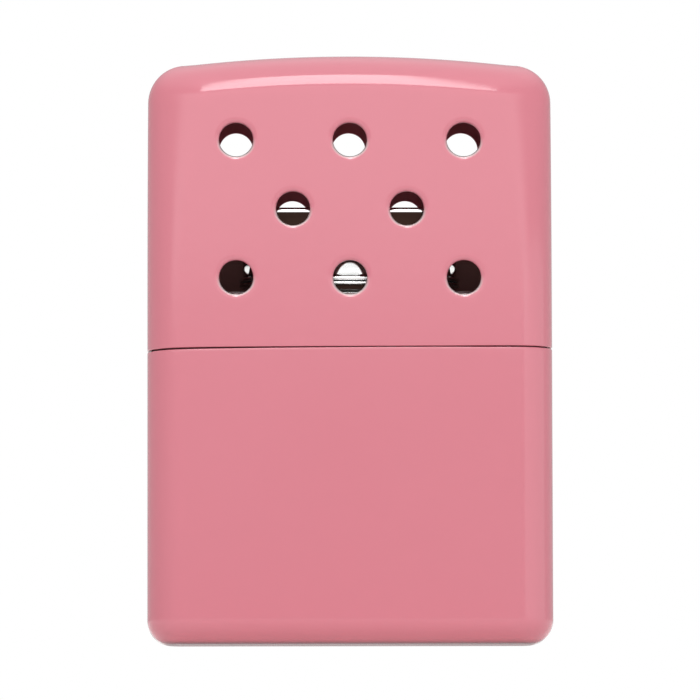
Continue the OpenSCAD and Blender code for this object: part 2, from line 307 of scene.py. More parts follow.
def ring(half_x, half_y, radius, inset, z):
    """An outline set in by a distance, at one height."""
    flat = outline(half_x - inset, half_y - inset, radius - inset)
    return np.column_stack([flat, np.full(COUNT, z)])


def arc(radius, start, end, steps):
    """Points of an arc in a section, about its own centre, in degrees from outwards to upwards."""
    angles = np.radians(np.linspace(start, end, steps + 1))
    return [(radius * math.cos(a), radius * math.sin(a)) for a in angles]


print("stations round an outline:", COUNT)

# %% [markdown]
# ## From outlines to a mesh
# Neighbouring outlines are joined by four-sided faces. Points that fall together are merged, faces are
# turned outwards, and each corner takes its shading from the largest face that meets there. That last
# step keeps flat sheet looking flat right up to its rounded edge, as it does on the real metal.

# %% Mesh helpers
def join_rings(rings, closed=True):
    """Faces between outlines that follow each other, and their points."""
    points = np.concatenate(rings)
    size = len(rings[0])
    faces = []
    for r in range(len(rings) - 1):
        for p in range(size if closed else size - 1):
            a, b = r * size + p, r * size + (p + 1) % size
            faces.append((a, b, b + size, a + size))
    return points, faces


def build(name, parts, meshes=()):
    """One closed mesh from lists of (points in mm, faces) and from ready meshes in metres."""
    made = bmesh.new()
    # each point's share of the painted highlight on a vent's lower lip, zero where none is stored
    made.verts.layers.float.new("lip")
    for points, faces in parts:
        corners = [made.verts.new(Vector(p) * MM) for p in points]
        for face in faces:
            try:
                made.faces.new([corners[i] for i in face])
            except ValueError:
                pass
    for mesh in meshes:
        made.from_mesh(mesh)
    bmesh.ops.remove_doubles(made, verts=made.verts, dist=0.002 * MM)
    bmesh.ops.dissolve_degenerate(made, edges=made.edges, dist=0.001 * MM)
    bmesh.ops.recalc_face_normals(made, faces=made.faces)
    open_edges = sum(1 for e in made.edges if len(e.link_faces) != 2)
    mesh = bpy.data.meshes.new(name)
    made.to_mesh(mesh)
    made.free()
    mesh.name = name
    result = bpy.data.objects.new(name, mesh)
    bpy.context.scene.collection.objects.link(result)
    print(name, "faces", len(mesh.polygons), "open edges", open_edges)
    return result


def shade(piece, crease=50):
    """Smooth shading led by the largest faces, with creases above an angle in degrees."""
    piece.data.shade_smooth()
    piece.data.set_sharp_from_angle(angle=math.radians(crease))
    weights = piece.modifiers.new("face weights", "WEIGHTED_NORMAL")
    weights.keep_sharp = True
    weights.weight = 50
    return settle(piece)


def settle(piece):
    """Turns a piece with its modifiers into a plain mesh."""
    seen_by = bpy.context.evaluated_depsgraph_get()
    mesh = bpy.data.meshes.new_from_object(piece.evaluated_get(seen_by), depsgraph=seen_by)
    old = piece.data
    piece.modifiers.clear()
    piece.data = mesh
    bpy.data.meshes.remove(old)
    mesh.name = piece.name
    return piece


def finish_piece(piece, body, node_name, material):
    """Gives a piece its material and its body, and hides the CAD node that it stands for."""
    piece.data.materials.clear()
    piece.data.materials.append(material)
    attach(piece, body)
    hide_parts(node_name)
    print(piece.name, "on the", body + ",", len(piece.data.polygons), "faces")
    return piece

# %% [markdown]
# ## Punched sheet
# Vents, burner slots and the holes of the base plate are all punched into flat sheet, and the punch
# leaves a rounded lip. They could be cut one by one with a boolean, but a rule describes them better:
# a pattern of points, a hole outline at each, a sheet filled round the outlines, and a lip swept round
# each hole. Geometry Nodes does just that, with the sizes as named inputs. A hole can be stretched
# into a slot, and every second hole of a pattern can be left out.

# %% Start and end of a tree
def new_tree(name, inputs):
    """An empty tree for geometry, and the outputs that give its named inputs."""
    tree = bpy.data.node_groups.new(name, "GeometryNodeTree")
    for title, kind in inputs.items():
        tree.interface.new_socket(title, in_out="INPUT", socket_type="NodeSocket" + kind)
    tree.interface.new_socket("Piece", in_out="OUTPUT", socket_type="NodeSocketGeometry")
    print("node tree:", name, "with", len(inputs), "inputs")
    return tree, add(tree, "NodeGroupInput").outputs


def end_tree(tree, piece, finish):
    """Gives real geometry its material and hands it out of the tree."""
    finished = add(tree, "GeometryNodeSetMaterial", {"Geometry": piece, "Material": finish})
    add(tree, "NodeGroupOutput", {0: finished})
    return tree


print("node trees so far:", len(bpy.data.node_groups))

# %% Geometry Nodes: punched sheet
# the flat margin between a lip's bend and the sheet, and how close two points are to be one
CORNER_ALLOWANCE, WELD = 0.08 * MM, 0.002 * MM


def punched_sheet_tree():
    """Fills an outline on the ground with sheet, top at z = 0, with rows of lipped holes."""
    tree, given = new_tree("punched_sheet", {
        "Outline": "Geometry", "Columns": "Int", "Rows": "Int", "Column pitch": "Float",
        "Row pitch": "Float", "Pattern centre": "Vector", "Every second hole": "Bool",
        "Lowest rows left out": "Int", "Hole radius": "Float", "Slot stretch": "Float",
        "Outer lip": "Float", "Inner lip": "Float", "Lip spread": "Float", "Sheet": "Float",
        "Points round a hole": "Int", "Finish": "Material",
    })

    # the pattern of hole centres
    total = add(tree, "ShaderNodeMath", {0: given["Columns"], 1: given["Rows"]}, operation="MULTIPLY")
    cloud = add(tree, "GeometryNodePoints", {"Count": total})
    index = add(tree, "GeometryNodeInputIndex")
    column = add(tree, "ShaderNodeMath", {0: index, 1: given["Columns"]}, operation="MODULO")
    row_part = add(tree, "ShaderNodeMath", {0: index, 1: given["Columns"]}, operation="DIVIDE")
    row = add(tree, "ShaderNodeMath", {0: row_part}, operation="FLOOR")
    steps = []
    for number, count, pitch in (
        (column, given["Columns"], given["Column pitch"]), (row, given["Rows"], given["Row pitch"]),
    ):
        last = add(tree, "ShaderNodeMath", {0: count, 1: 1.0}, operation="SUBTRACT")
        middle = add(tree, "ShaderNodeMath", {0: last, 1: 0.5}, operation="MULTIPLY")
        offset = add(tree, "ShaderNodeMath", {0: number, 1: middle}, operation="SUBTRACT")
        steps.append(add(tree, "ShaderNodeMath", {0: offset, 1: pitch}, operation="MULTIPLY"))
    spot = add(tree, "ShaderNodeCombineXYZ", {"X": steps[0], "Y": steps[1]})
    centred = add(tree, "ShaderNodeVectorMath", {0: spot, 1: given["Pattern centre"]}, operation="ADD")
    both = add(tree, "ShaderNodeMath", {0: column, 1: row}, operation="ADD")
    odd = add(tree, "ShaderNodeMath", {0: both, 1: 2.0}, operation="MODULO")
    is_odd = add(tree, "FunctionNodeCompare", {0: odd, 1: 0.5}, data_type="FLOAT", operation="GREATER_THAN")
    dropped = add(tree, "FunctionNodeBooleanMath", {0: is_odd, 1: given["Every second hole"]},
                  operation="AND")
    low_row = add(tree, "FunctionNodeCompare", {
        0: row, 1: given["Lowest rows left out"],
    }, data_type="FLOAT", operation="LESS_THAN")
    unwanted = add(tree, "FunctionNodeBooleanMath", {0: dropped, 1: low_row}, operation="OR")
    placed = add(tree, "GeometryNodeSetPosition", {"Geometry": cloud, "Position": centred})
    centres = add(tree, "GeometryNodeDeleteGeometry", {
        "Geometry": placed, "Selection": unwanted,
    }, domain="POINT")

    # pulling a round hole apart into a slot: points above the middle go up, points below go down
    place = add(tree, "GeometryNodeInputPosition")
    parts = add(tree, "ShaderNodeSeparateXYZ", {0: place})
    steep = add(tree, "ShaderNodeMath", {0: parts.outputs["Y"], 1: 1e6}, operation="MULTIPLY")
    half = add(tree, "ShaderNodeClamp", {"Value": steep, "Min": -0.5, "Max": 0.5})
    pull = add(tree, "ShaderNodeMath", {0: half, 1: given["Slot stretch"]}, operation="MULTIPLY")
    pulled = add(tree, "ShaderNodeCombineXYZ", {"Y": pull})

    # the two faces of the sheet, filled round the holes
    frame_curve = add(tree, "GeometryNodeMeshToCurve", {"Mesh": given["Outline"]})
    faces, reaches = [], []
    for lip in (given["Outer lip"], given["Inner lip"]):
        rounding = add(tree, "ShaderNodeMath", {0: lip, 1: CORNER_ALLOWANCE}, operation="ADD")
        reach = add(tree, "ShaderNodeMath", {
            0: rounding, 1: given["Lip spread"], 2: given["Hole radius"],
        }, operation="MULTIPLY_ADD")
        circle = add(tree, "GeometryNodeCurvePrimitiveCircle", {
            "Resolution": given["Points round a hole"], "Radius": reach,
        }, mode="RADIUS")
        slot_shape = add(tree, "GeometryNodeSetPosition", {"Geometry": circle, "Offset": pulled})
        holes = add(tree, "GeometryNodeInstanceOnPoints", {"Points": centres, "Instance": slot_shape})
        real = add(tree, "GeometryNodeRealizeInstances", {"Geometry": holes})
        lines = add(tree, "GeometryNodeJoinGeometry", {0: [real, frame_curve]})
        faces.append(add(tree, "GeometryNodeFillCurve", {"Curve": lines}, mode="TRIANGLES"))
        reaches.append(rounding)
    depth = add(tree, "ShaderNodeMath", {0: given["Sheet"], 1: -1.0}, operation="MULTIPLY")
    down = add(tree, "ShaderNodeCombineXYZ", {"Z": depth})
    lowered = add(tree, "GeometryNodeTransform", {"Geometry": faces[1], "Translation": down})

    # the lip: a path from one face over the edge to the other, with its two bends rounded
    step_of = add(tree, "GeometryNodeInputIndex")
    path_start = add(tree, "GeometryNodeMeshLine", {"Count": 4})
    corners = [
        add(tree, "ShaderNodeCombineXYZ", {"X": reaches[0]}),
        add(tree, "ShaderNodeCombineXYZ"),
        add(tree, "ShaderNodeCombineXYZ", {"Y": given["Sheet"]}),
        add(tree, "ShaderNodeCombineXYZ", {"X": reaches[1], "Y": given["Sheet"]}),
    ]
    corner = add(tree, "GeometryNodeIndexSwitch", data_type="VECTOR")
    while len(corner.index_switch_items) < 4:
        corner.index_switch_items.new()
    tree.links.new(step_of.outputs[0], corner.inputs["Index"])
    for number, at in enumerate(corners):
        tree.links.new(at.outputs[0], corner.inputs[1 + number])
    bent = add(tree, "GeometryNodeSetPosition", {"Geometry": path_start, "Position": corner})
    bent_curve = add(tree, "GeometryNodeMeshToCurve", {"Mesh": bent})
    first = add(tree, "FunctionNodeCompare", {2: step_of, 3: 2}, data_type="INT", operation="LESS_THAN")
    size = add(tree, "GeometryNodeSwitch", {
        0: first, 1: given["Inner lip"], 2: given["Outer lip"],
    }, input_type="FLOAT")
    section = add(tree, "GeometryNodeFilletCurve", {
        "Curve": bent_curve, "Count": 5, "Radius": size, "Limit Radius": True,
    }, mode="POLY")
    wider = add(tree, "ShaderNodeCombineXYZ", {"X": given["Lip spread"], "Y": 1.0, "Z": 1.0})
    section = add(tree, "GeometryNodeTransform", {"Geometry": section, "Scale": wider})
    round_path = add(tree, "GeometryNodeCurvePrimitiveCircle", {
        "Resolution": given["Points round a hole"], "Radius": given["Hole radius"],
    }, mode="RADIUS")
    swept = add(tree, "GeometryNodeCurveToMesh", {"Curve": round_path, "Profile Curve": section})
    # marks the points of a lip that lie close to its hole, in its lower half: there the lip is painted as
    # bright bare metal, a painted highlight
    here = add(tree, "GeometryNodeInputPosition")
    level = add(tree, "ShaderNodeVectorMath", {0: here, 1: (1, 1, 0)}, operation="MULTIPLY")
    from_axis = add(tree, "ShaderNodeVectorMath", {0: level}, operation="LENGTH")
    from_edge = add(tree, "ShaderNodeMath", {0: from_axis, 1: given["Hole radius"]}, operation="SUBTRACT")
    bend = add(tree, "ShaderNodeMath", {0: given["Outer lip"], 1: given["Lip spread"]},
               operation="MULTIPLY")
    edge_share = add(tree, "ShaderNodeMath", {0: from_edge, 1: bend}, operation="DIVIDE")
    near_edge = add(tree, "ShaderNodeMapRange", {"Value": edge_share, "From Min": 0.55, "From Max": 0.25})
    height = add(tree, "ShaderNodeSeparateXYZ", {0: here})
    lower_half = add(tree, "ShaderNodeMapRange", {
        "Value": height.outputs["Y"], "From Min": 0.3 * MM, "From Max": -1.2 * MM,
    })
    painted_glint_share = add(tree, "ShaderNodeMath", {0: near_edge, 1: lower_half}, operation="MULTIPLY")
    marked = add(tree, "GeometryNodeStoreNamedAttribute", {
        "Geometry": swept, "Name": "lip", "Value": painted_glint_share,
    }, data_type="FLOAT", domain="POINT")
    lip_shape = add(tree, "GeometryNodeSetPosition", {"Geometry": marked, "Offset": pulled})
    lips = add(tree, "GeometryNodeInstanceOnPoints", {"Points": centres, "Instance": lip_shape})
    sheet = add(tree, "GeometryNodeJoinGeometry", {0: [lips, lowered, faces[0]]})
    real = add(tree, "GeometryNodeRealizeInstances", {"Geometry": sheet})
    welded = add(tree, "GeometryNodeMergeByDistance", {"Geometry": real, "Distance": WELD})
    return end_tree(tree, welded, given["Finish"])


PUNCHED = punched_sheet_tree()


def from_nodes(name, tree, start, values):
    """Runs a tree on a start mesh and hands back the result as a plain mesh."""
    holder = bpy.data.objects.new(name, start)
    bpy.context.scene.collection.objects.link(holder)
    modifier = holder.modifiers.new("nodes", "NODES")
    modifier.node_group = tree
    for socket in tree.interface.items_tree:
        if socket.in_out == "INPUT" and socket.name in values:
            modifier[socket.identifier] = values[socket.name]
    seen_by = bpy.context.evaluated_depsgraph_get()
    mesh = bpy.data.meshes.new_from_object(holder.evaluated_get(seen_by), depsgraph=seen_by)
    bpy.data.objects.remove(holder)
    bpy.data.meshes.remove(start)
    print(name, "from nodes:", len(mesh.polygons), "faces")
    return mesh


def named(values):
    """The names that a tree gives its inputs, from a call's keywords."""
    return {key.replace("_", " ").capitalize(): value for key, value in values.items()}


def punched(name, flat_outline, **values):
    """Punched sheet inside a closed outline of (x, y) points in mm, with plain round holes if not told."""
    start = bpy.data.meshes.new(name)
    count = len(flat_outline)
    start.from_pydata([(x * MM, y * MM, 0) for x, y in flat_outline],
                      [(i, (i + 1) % count) for i in range(count)], [])
    plain_holes = dict(pattern_centre=(0, 0, 0), every_second_hole=False, slot_stretch=0.0, lip_spread=1.0)
    return from_nodes(name, PUNCHED, start, named({**plain_holes, **values}))


print("inputs:", [s.name for s in PUNCHED.interface.items_tree if s.in_out == "INPUT"])

# %% [markdown]
# ## Pink enamel
# The case and lid are sprayed with a gloss enamel and baked. A thick, clear top layer gives the
# sharp reflections, while the colour under it stays even. Two things keep it from looking like
# plastic: a faint orange-peel wave in the gloss, about a millimetre and a half across, and a dull
# inside, where only a mist of paint reaches and no clear layer covers it. Towards the open end the
# inside is painted darker and greyer, which is painted shade. The lower lip of each vent is painted
# as bright bare metal, a painted highlight where it catches the light from above.

# %% Material: gloss enamel on drawn steel
def gloss_enamel():
    """Baked pink enamel: even colour, hard clear gloss, slight orange peel."""
    material, tree = new_material("gloss_enamel_on_drawn_steel")
    place = add(tree, "ShaderNodeTexCoord").outputs["Object"]
    drift = add(tree, "ShaderNodeTexNoise", {"Vector": place, "Scale": 55.0, "Detail": 2.0})
    tone = add(tree, "ShaderNodeMix", {
        "Factor": drift, "A": linear(PAINT_DEEP), "B": linear(PAINT_LIGHT),
    }, data_type="RGBA")
    # inside faces look back at the middle of the warmer: front and back, ends, then top and base
    middle = add(tree, "ShaderNodeVectorMath", {0: place, 1: (0, 0, 45 * MM)}, operation="SUBTRACT")
    facing = add(tree, "ShaderNodeNewGeometry").outputs["Normal"]
    lean = add(tree, "ShaderNodeVectorMath", {0: middle, 1: facing}, operation="MULTIPLY")
    parts = add(tree, "ShaderNodeSeparateXYZ", {0: lean})
    inside = 0.0
    for axis, start, end in (("Y", -0.5, -2.5), ("X", -17.5, -21.0), ("Z", -21.5, -25.0)):
        turned = add(tree, "ShaderNodeMapRange", {
            "Value": parts.outputs[axis], "From Min": start * MM, "From Max": end * MM,
        })
        inside = add(tree, "ShaderNodeMath", {0: turned, 1: inside}, operation="MAXIMUM").outputs[0]
    # towards the open end the inside turns darker and greyer: painted shade for the deep, unlit lower
    # inside of the lid
    height = add(tree, "ShaderNodeMapRange", {
        "Value": add(tree, "ShaderNodeSeparateXYZ", {0: place}).outputs["Z"],
        "From Min": 50 * MM, "From Max": 57 * MM,
    })
    mist_and_painted_shade = add(tree, "ShaderNodeMix", {
        "Factor": height, "A": linear(MIST_PAINTED_SHADE), "B": linear(MIST_HIGH),
    }, data_type="RGBA")
    tone = add(tree, "ShaderNodeMix", {"Factor": inside, "A": tone, "B": mist_and_painted_shade}, data_type="RGBA")
    # the lower lips of the vents turn to bright bare metal: a painted highlight where they catch the light
    # from above
    painted_glint = add(tree, "ShaderNodeAttribute", attribute_name="lip").outputs["Fac"]
    tone = add(tree, "ShaderNodeMix", {"Factor": painted_glint, "A": tone, "B": linear(GLINT_BARE_METAL)}, data_type="RGBA")
    gloss = add(tree, "ShaderNodeMapRange", {"Value": inside, "To Min": 0.9, "To Max": 0.0})
    dull = add(tree, "ShaderNodeMapRange", {"Value": inside, "To Min": 0.42, "To Max": 0.7})
    peel = add(tree, "ShaderNodeTexNoise", {"Vector": place, "Scale": 640.0, "Detail": 1.5})
    dust = add(tree, "ShaderNodeTexNoise", {"Vector": place, "Scale": 3800.0, "Detail": 2.0})
    peel_bump = add(tree, "ShaderNodeBump", {"Height": peel, "Strength": 0.012, "Distance": 0.0003})
    dust_bump = add(tree, "ShaderNodeBump", {
        "Height": dust, "Strength": 0.04, "Distance": 0.00005,
        "Normal": peel_bump,
    })
    paint = add(tree, "ShaderNodeBsdfPrincipled", {
        "Base Color": tone, "Roughness": dull, "IOR": 1.5,
        "Metallic": painted_glint, "Specular IOR Level": 0.25, "Coat Weight": gloss,
        "Coat Roughness": 0.07, "Coat IOR": 1.6,
        "Normal": dust_bump, "Coat Normal": peel_bump,
    })
    add(tree, "ShaderNodeOutputMaterial", {"Surface": paint})
    return material


PAINT_DEEP, PAINT_LIGHT = "#dd7e8d", "#df8190"
# the paint mist inside, and the darker, greyer tone low down that is painted shade
MIST_PAINTED_SHADE, MIST_HIGH = "#9c6c68", "#cf7480"
# bright bare metal for the painted highlight on the vents' lower lips
GLINT_BARE_METAL = "#eadcdb"
enamel = gloss_enamel()

# %% [markdown]
# ## The fuel case
# The case is a deep-drawn box, open at the top. Its outline is the same all the way up, apart from
# the radius at its foot. A section through the wall is walked once, from the middle of the base, up
# the outside, over the rim and down the inside, and every step of that walk is one outline.

# %% Fuel case
HALF_X, HALF_Y = 25.4, 6.5
SIDE_RADIUS, WALL = 4.2, 0.6
CASE_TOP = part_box("lower_case")[1].z / MM
FOOT = 3.0
RIM = 0.12
SEAM_AT = (-25.4, -22.0, -18.8, -10.0, 0.0, 10.0, 19.0, 25.4)
SEAM_LIFT = (-0.22, -0.10, -0.01, 0.11, 0.19, 0.22, 0.20, 0.16)
SEAM_CLOSES = (0.03, 0.03, 0.04, 0.09, 0.13, 0.13, 0.08, 0.08)


def seam_drift(x):
    """How far the trimmed edges at the seam lie above their true height, for each x in mm."""
    return np.interp(x, SEAM_AT, SEAM_LIFT)


def with_drift(outline_ring, low, high, extra=0.0):
    """Moves an outline near the seam up or down with it: not at all at one height, fully at another."""
    moved = outline_ring.copy()
    share = min(max((outline_ring[0, 2] - low) / (high - low), 0.0), 1.0)
    moved[:, 2] += share * (seam_drift(moved[:, 0]) + extra)
    return moved


def case_section():
    """(inset, height) steps of a walk round the wall of the case."""
    inner_foot = FOOT - WALL
    walk = [(FOOT + 0.9, 0.0), (FOOT + 0.25, 0.0)]
    walk += [(FOOT - x, FOOT + z) for x, z in arc(FOOT, -90, 0, 14)]
    walk += [(0.0, FOOT + 0.25), (0.0, CASE_TOP - RIM - 0.2)]
    walk += [(RIM - x, CASE_TOP - RIM + z) for x, z in arc(RIM, 0, 90, 5)]
    walk += [(WALL - RIM - x, CASE_TOP - RIM + z) for x, z in arc(RIM, 90, 180, 5)]
    walk += [(WALL, CASE_TOP - RIM - 0.2), (WALL, FOOT + 0.25)]
    walk += [(FOOT - x, FOOT + z) for x, z in reversed(arc(inner_foot, -90, 0, 10))]
    walk += [(FOOT + 0.9, WALL)]
    return walk


def capped(rings):
    """Joined outlines with the first and the last one closed by a flat face."""
    points, faces = join_rings(rings)
    size = len(rings[0])
    faces.append(tuple(range(size)))
    faces.append(tuple(range(len(points) - size, len(points))))
    return points, faces


case = build("fuel_case", [capped([
    with_drift(ring(HALF_X, HALF_Y, SIDE_RADIUS, inset, z), FOOT + 1, CASE_TOP - RIM - 0.2)
    for inset, z in case_section()
])])
finish_piece(shade(case), "tank", "lower_case", enamel)

# %% [markdown]
# ## The lid
# The lid is harder than the case, because three roundings meet at each top corner: the upright edge,
# the shoulder seen from the front and the edge between front and top. Cutting three shapes from
# each other leaves creases there. On the drawn metal the corner is one smooth ball, so each station
# rolls its own arc from the wall over to the arched top, and the arc's radius changes from station
# to station.

# %% Lid shape
LID_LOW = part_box("vented_lid")[0].z / MM
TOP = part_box("vented_lid")[1].z / MM
ARCH = 176.0
ARCH_CENTRE = TOP - ARCH
SHOULDER, FRONT_EDGE = 4.8, 5.0
CORNER_REACH = 7.0
DRAFT = 0.08
LIP = 0.12


def lid_frame(inset):
    """For every station: the centre, the outward and the upward reach of its rolled edge."""
    side = FACING[:, 0] ** 2
    radius = FRONT_EDGE + (SHOULDER - FRONT_EDGE) * side
    reach_x = CORNER_REACH + (SHOULDER - CORNER_REACH) * side
    reach_y = FRONT_EDGE + (SIDE_RADIUS - FRONT_EDGE) * side
    end_x = (HALF_X - DRAFT - reach_x) * ARCH / (ARCH - SHOULDER)
    centre_x = SHARE[:, 0] * end_x * (ARCH - radius) / ARCH
    centre_y = SHARE[:, 1] * (HALF_Y - reach_y)
    centre_z = ARCH_CENTRE + np.sqrt((ARCH - radius) ** 2 - centre_x ** 2)
    out_x = HALF_X - DRAFT - end_x * (ARCH - radius) / ARCH
    out = np.column_stack([
        FACING[:, 0] * (out_x - inset), FACING[:, 1] * (reach_y - inset), np.zeros(COUNT),
    ])
    upward = np.column_stack([centre_x, np.zeros(COUNT), centre_z - ARCH_CENTRE])
    upward *= ((radius - inset) / (ARCH - radius))[:, None]
    return np.column_stack([centre_x, centre_y, centre_z]), out, upward


def rolled_ring(inset, share):
    """Outline part of the way over the rolled edge: 0 at the wall, 1 on the arched top."""
    centre, out, upward = lid_frame(inset)
    cosine = (out * upward).sum(1) / np.linalg.norm(out, axis=1) / np.linalg.norm(upward, axis=1)
    angle = np.arccos(cosine)[:, None]
    weight_out = np.sin((1 - share) * angle) / np.sin(angle)
    weight_up = np.sin(share * angle) / np.sin(angle)
    return centre + out * weight_out + upward * weight_up


def wall_ring(inset, share):
    """Outline of the lid's wall: 0 just over the rim, 1 where the rolled edge starts."""
    low = rim_ring(inset, LID_LOW + LIP + 0.15)
    high = rolled_ring(inset, 0.0)
    lean = np.array([share ** 3, share ** 3, share])
    return low + (high - low) * lean


def rim_ring(inset, z):
    """Outline of the lid's rim, which follows the edge of the case and lies close to it."""
    flat = ring(HALF_X, HALF_Y, SIDE_RADIUS, inset, z)
    return with_drift(flat, 0.0, 1.0, -np.interp(flat[:, 0], SEAM_AT, SEAM_CLOSES))


def arched_top(edge_ring):
    """Faces across the arched top, from each station in front to the one behind it."""
    middle = ALONG_SIDE // 2
    left = COUNT - ALONG_SIDE + middle - TURN
    front = [(left + i) % COUNT for i in range(HALF_WAY + 1)]
    back = [(left - i) % COUNT for i in range(HALF_WAY + 1)]
    near, far = edge_ring[front], edge_ring[back]
    return join_rings([near + (far - near) * k for k in np.linspace(0, 1, 7)], closed=False)


def lid_side_strips(rings):
    """Faces of the two ends of the lid, between its flat front and back."""
    strips = []
    first, last = ACROSS, HALF_WAY
    for start in (first, first + HALF_WAY):
        chosen = [(start + i) % COUNT for i in range(last - first + 1)]
        strips.append(join_rings([r[chosen] for r in rings], closed=False))
    return strips


WALL_STEPS = [0.0, 0.01, *np.linspace(0.1, 0.9, 9), 0.99, 1.0]
ROLL_STEPS = np.linspace(0, 1, 15)


def lid_skin():
    """All of the lid apart from its flat, vented front and back."""
    parts = []
    for inset in (0.0, WALL):
        parts += lid_side_strips([wall_ring(inset, s) for s in WALL_STEPS])
        rolled = [rolled_ring(inset, s) for s in ROLL_STEPS]
        parts.append(join_rings(rolled))
        parts.append(arched_top(rolled[-1]))
    rim = [wall_ring(0.0, 0.0)]
    rim += [rim_ring(LIP - x, LID_LOW + LIP + z) for x, z in arc(LIP, 0, -90, 5)]
    rim += [rim_ring(WALL - LIP - x, LID_LOW + LIP + z) for x, z in arc(LIP, -90, -180, 5)]
    rim += [wall_ring(WALL, 0.0)]
    parts.append(join_rings(rim))
    return parts


def lid_panel_outline():
    """The flat front of the lid as seen from the front, corner by corner."""
    walls = [wall_ring(0.0, s) for s in WALL_STEPS]
    bottom = walls[0][:ACROSS + 1, [0, 2]]
    right_edge = np.array([w[ACROSS, [0, 2]] for w in walls[1:-1]])
    top = walls[-1][:ACROSS + 1, [0, 2]][::-1]
    left_edge = np.array([w[0, [0, 2]] for w in walls[1:-1]])[::-1]
    return np.concatenate([bottom, right_edge, top, left_edge])


print("arched top centre", round(ARCH_CENTRE, 2), "panel points", len(lid_panel_outline()))

# %% Lid with its vents
VENT_RADIUS, VENT_LIP, VENT_INNER_LIP, LIP_SPREAD = 2.125, 0.38, 0.12, 1.6
TOP_ROW_DOWN = 11.0
VENT_PITCH, ROW_PITCH = 14.25, 8.65
VENT_MIDDLE = TOP - TOP_ROW_DOWN - ROW_PITCH


def vented_panel(name, rows_left_out, turn):
    """A flat side of the lid with its vents, stood up and turned to face its way."""
    panel = punched(
        name, lid_panel_outline(), columns=5, rows=3,
        column_pitch=VENT_PITCH / 2 * MM, row_pitch=ROW_PITCH * MM,
        pattern_centre=(0, VENT_MIDDLE * MM, 0), every_second_hole=True,
        lowest_rows_left_out=rows_left_out, hole_radius=VENT_RADIUS * MM,
        outer_lip=VENT_LIP * MM, inner_lip=VENT_INNER_LIP * MM, lip_spread=LIP_SPREAD,
        sheet=WALL * MM, points_round_a_hole=64, finish=enamel,
    )
    stand_up = Matrix.Translation((0, -HALF_Y * MM, 0)) @ Matrix.Rotation(math.pi / 2, 4, "X")
    panel.transform(Matrix.Rotation(turn, 4, "Z") @ stand_up)
    return panel


front_panel = vented_panel("front_panel", 0, 0.0)
back_panel = vented_panel("back_panel", 1, math.pi)
lid = build("vented_lid_shell", lid_skin(), (front_panel, back_panel))
finish_piece(shade(lid), "lid", "vented_lid", enamel)

# %% [markdown]
# ## Chrome plate
# The tank top and neck are stamped steel with a thin, bright plating. It mirrors what is round it and
# has almost no colour of its own. What makes it look real is small: polishing marks too fine to see
# one by one, and cloudy patches where fingers and fuel have been. Near the seam a dull, reddish band
# is painted shade, with a painted reflection of the pink paint, for the dark gap of the seam.

# %% Material: bright chrome plate
SEAM_Z = (CASE_TOP + LID_LOW) / 2
WANDER = 1.4    # mm between the highest and the lowest point of a browned edge


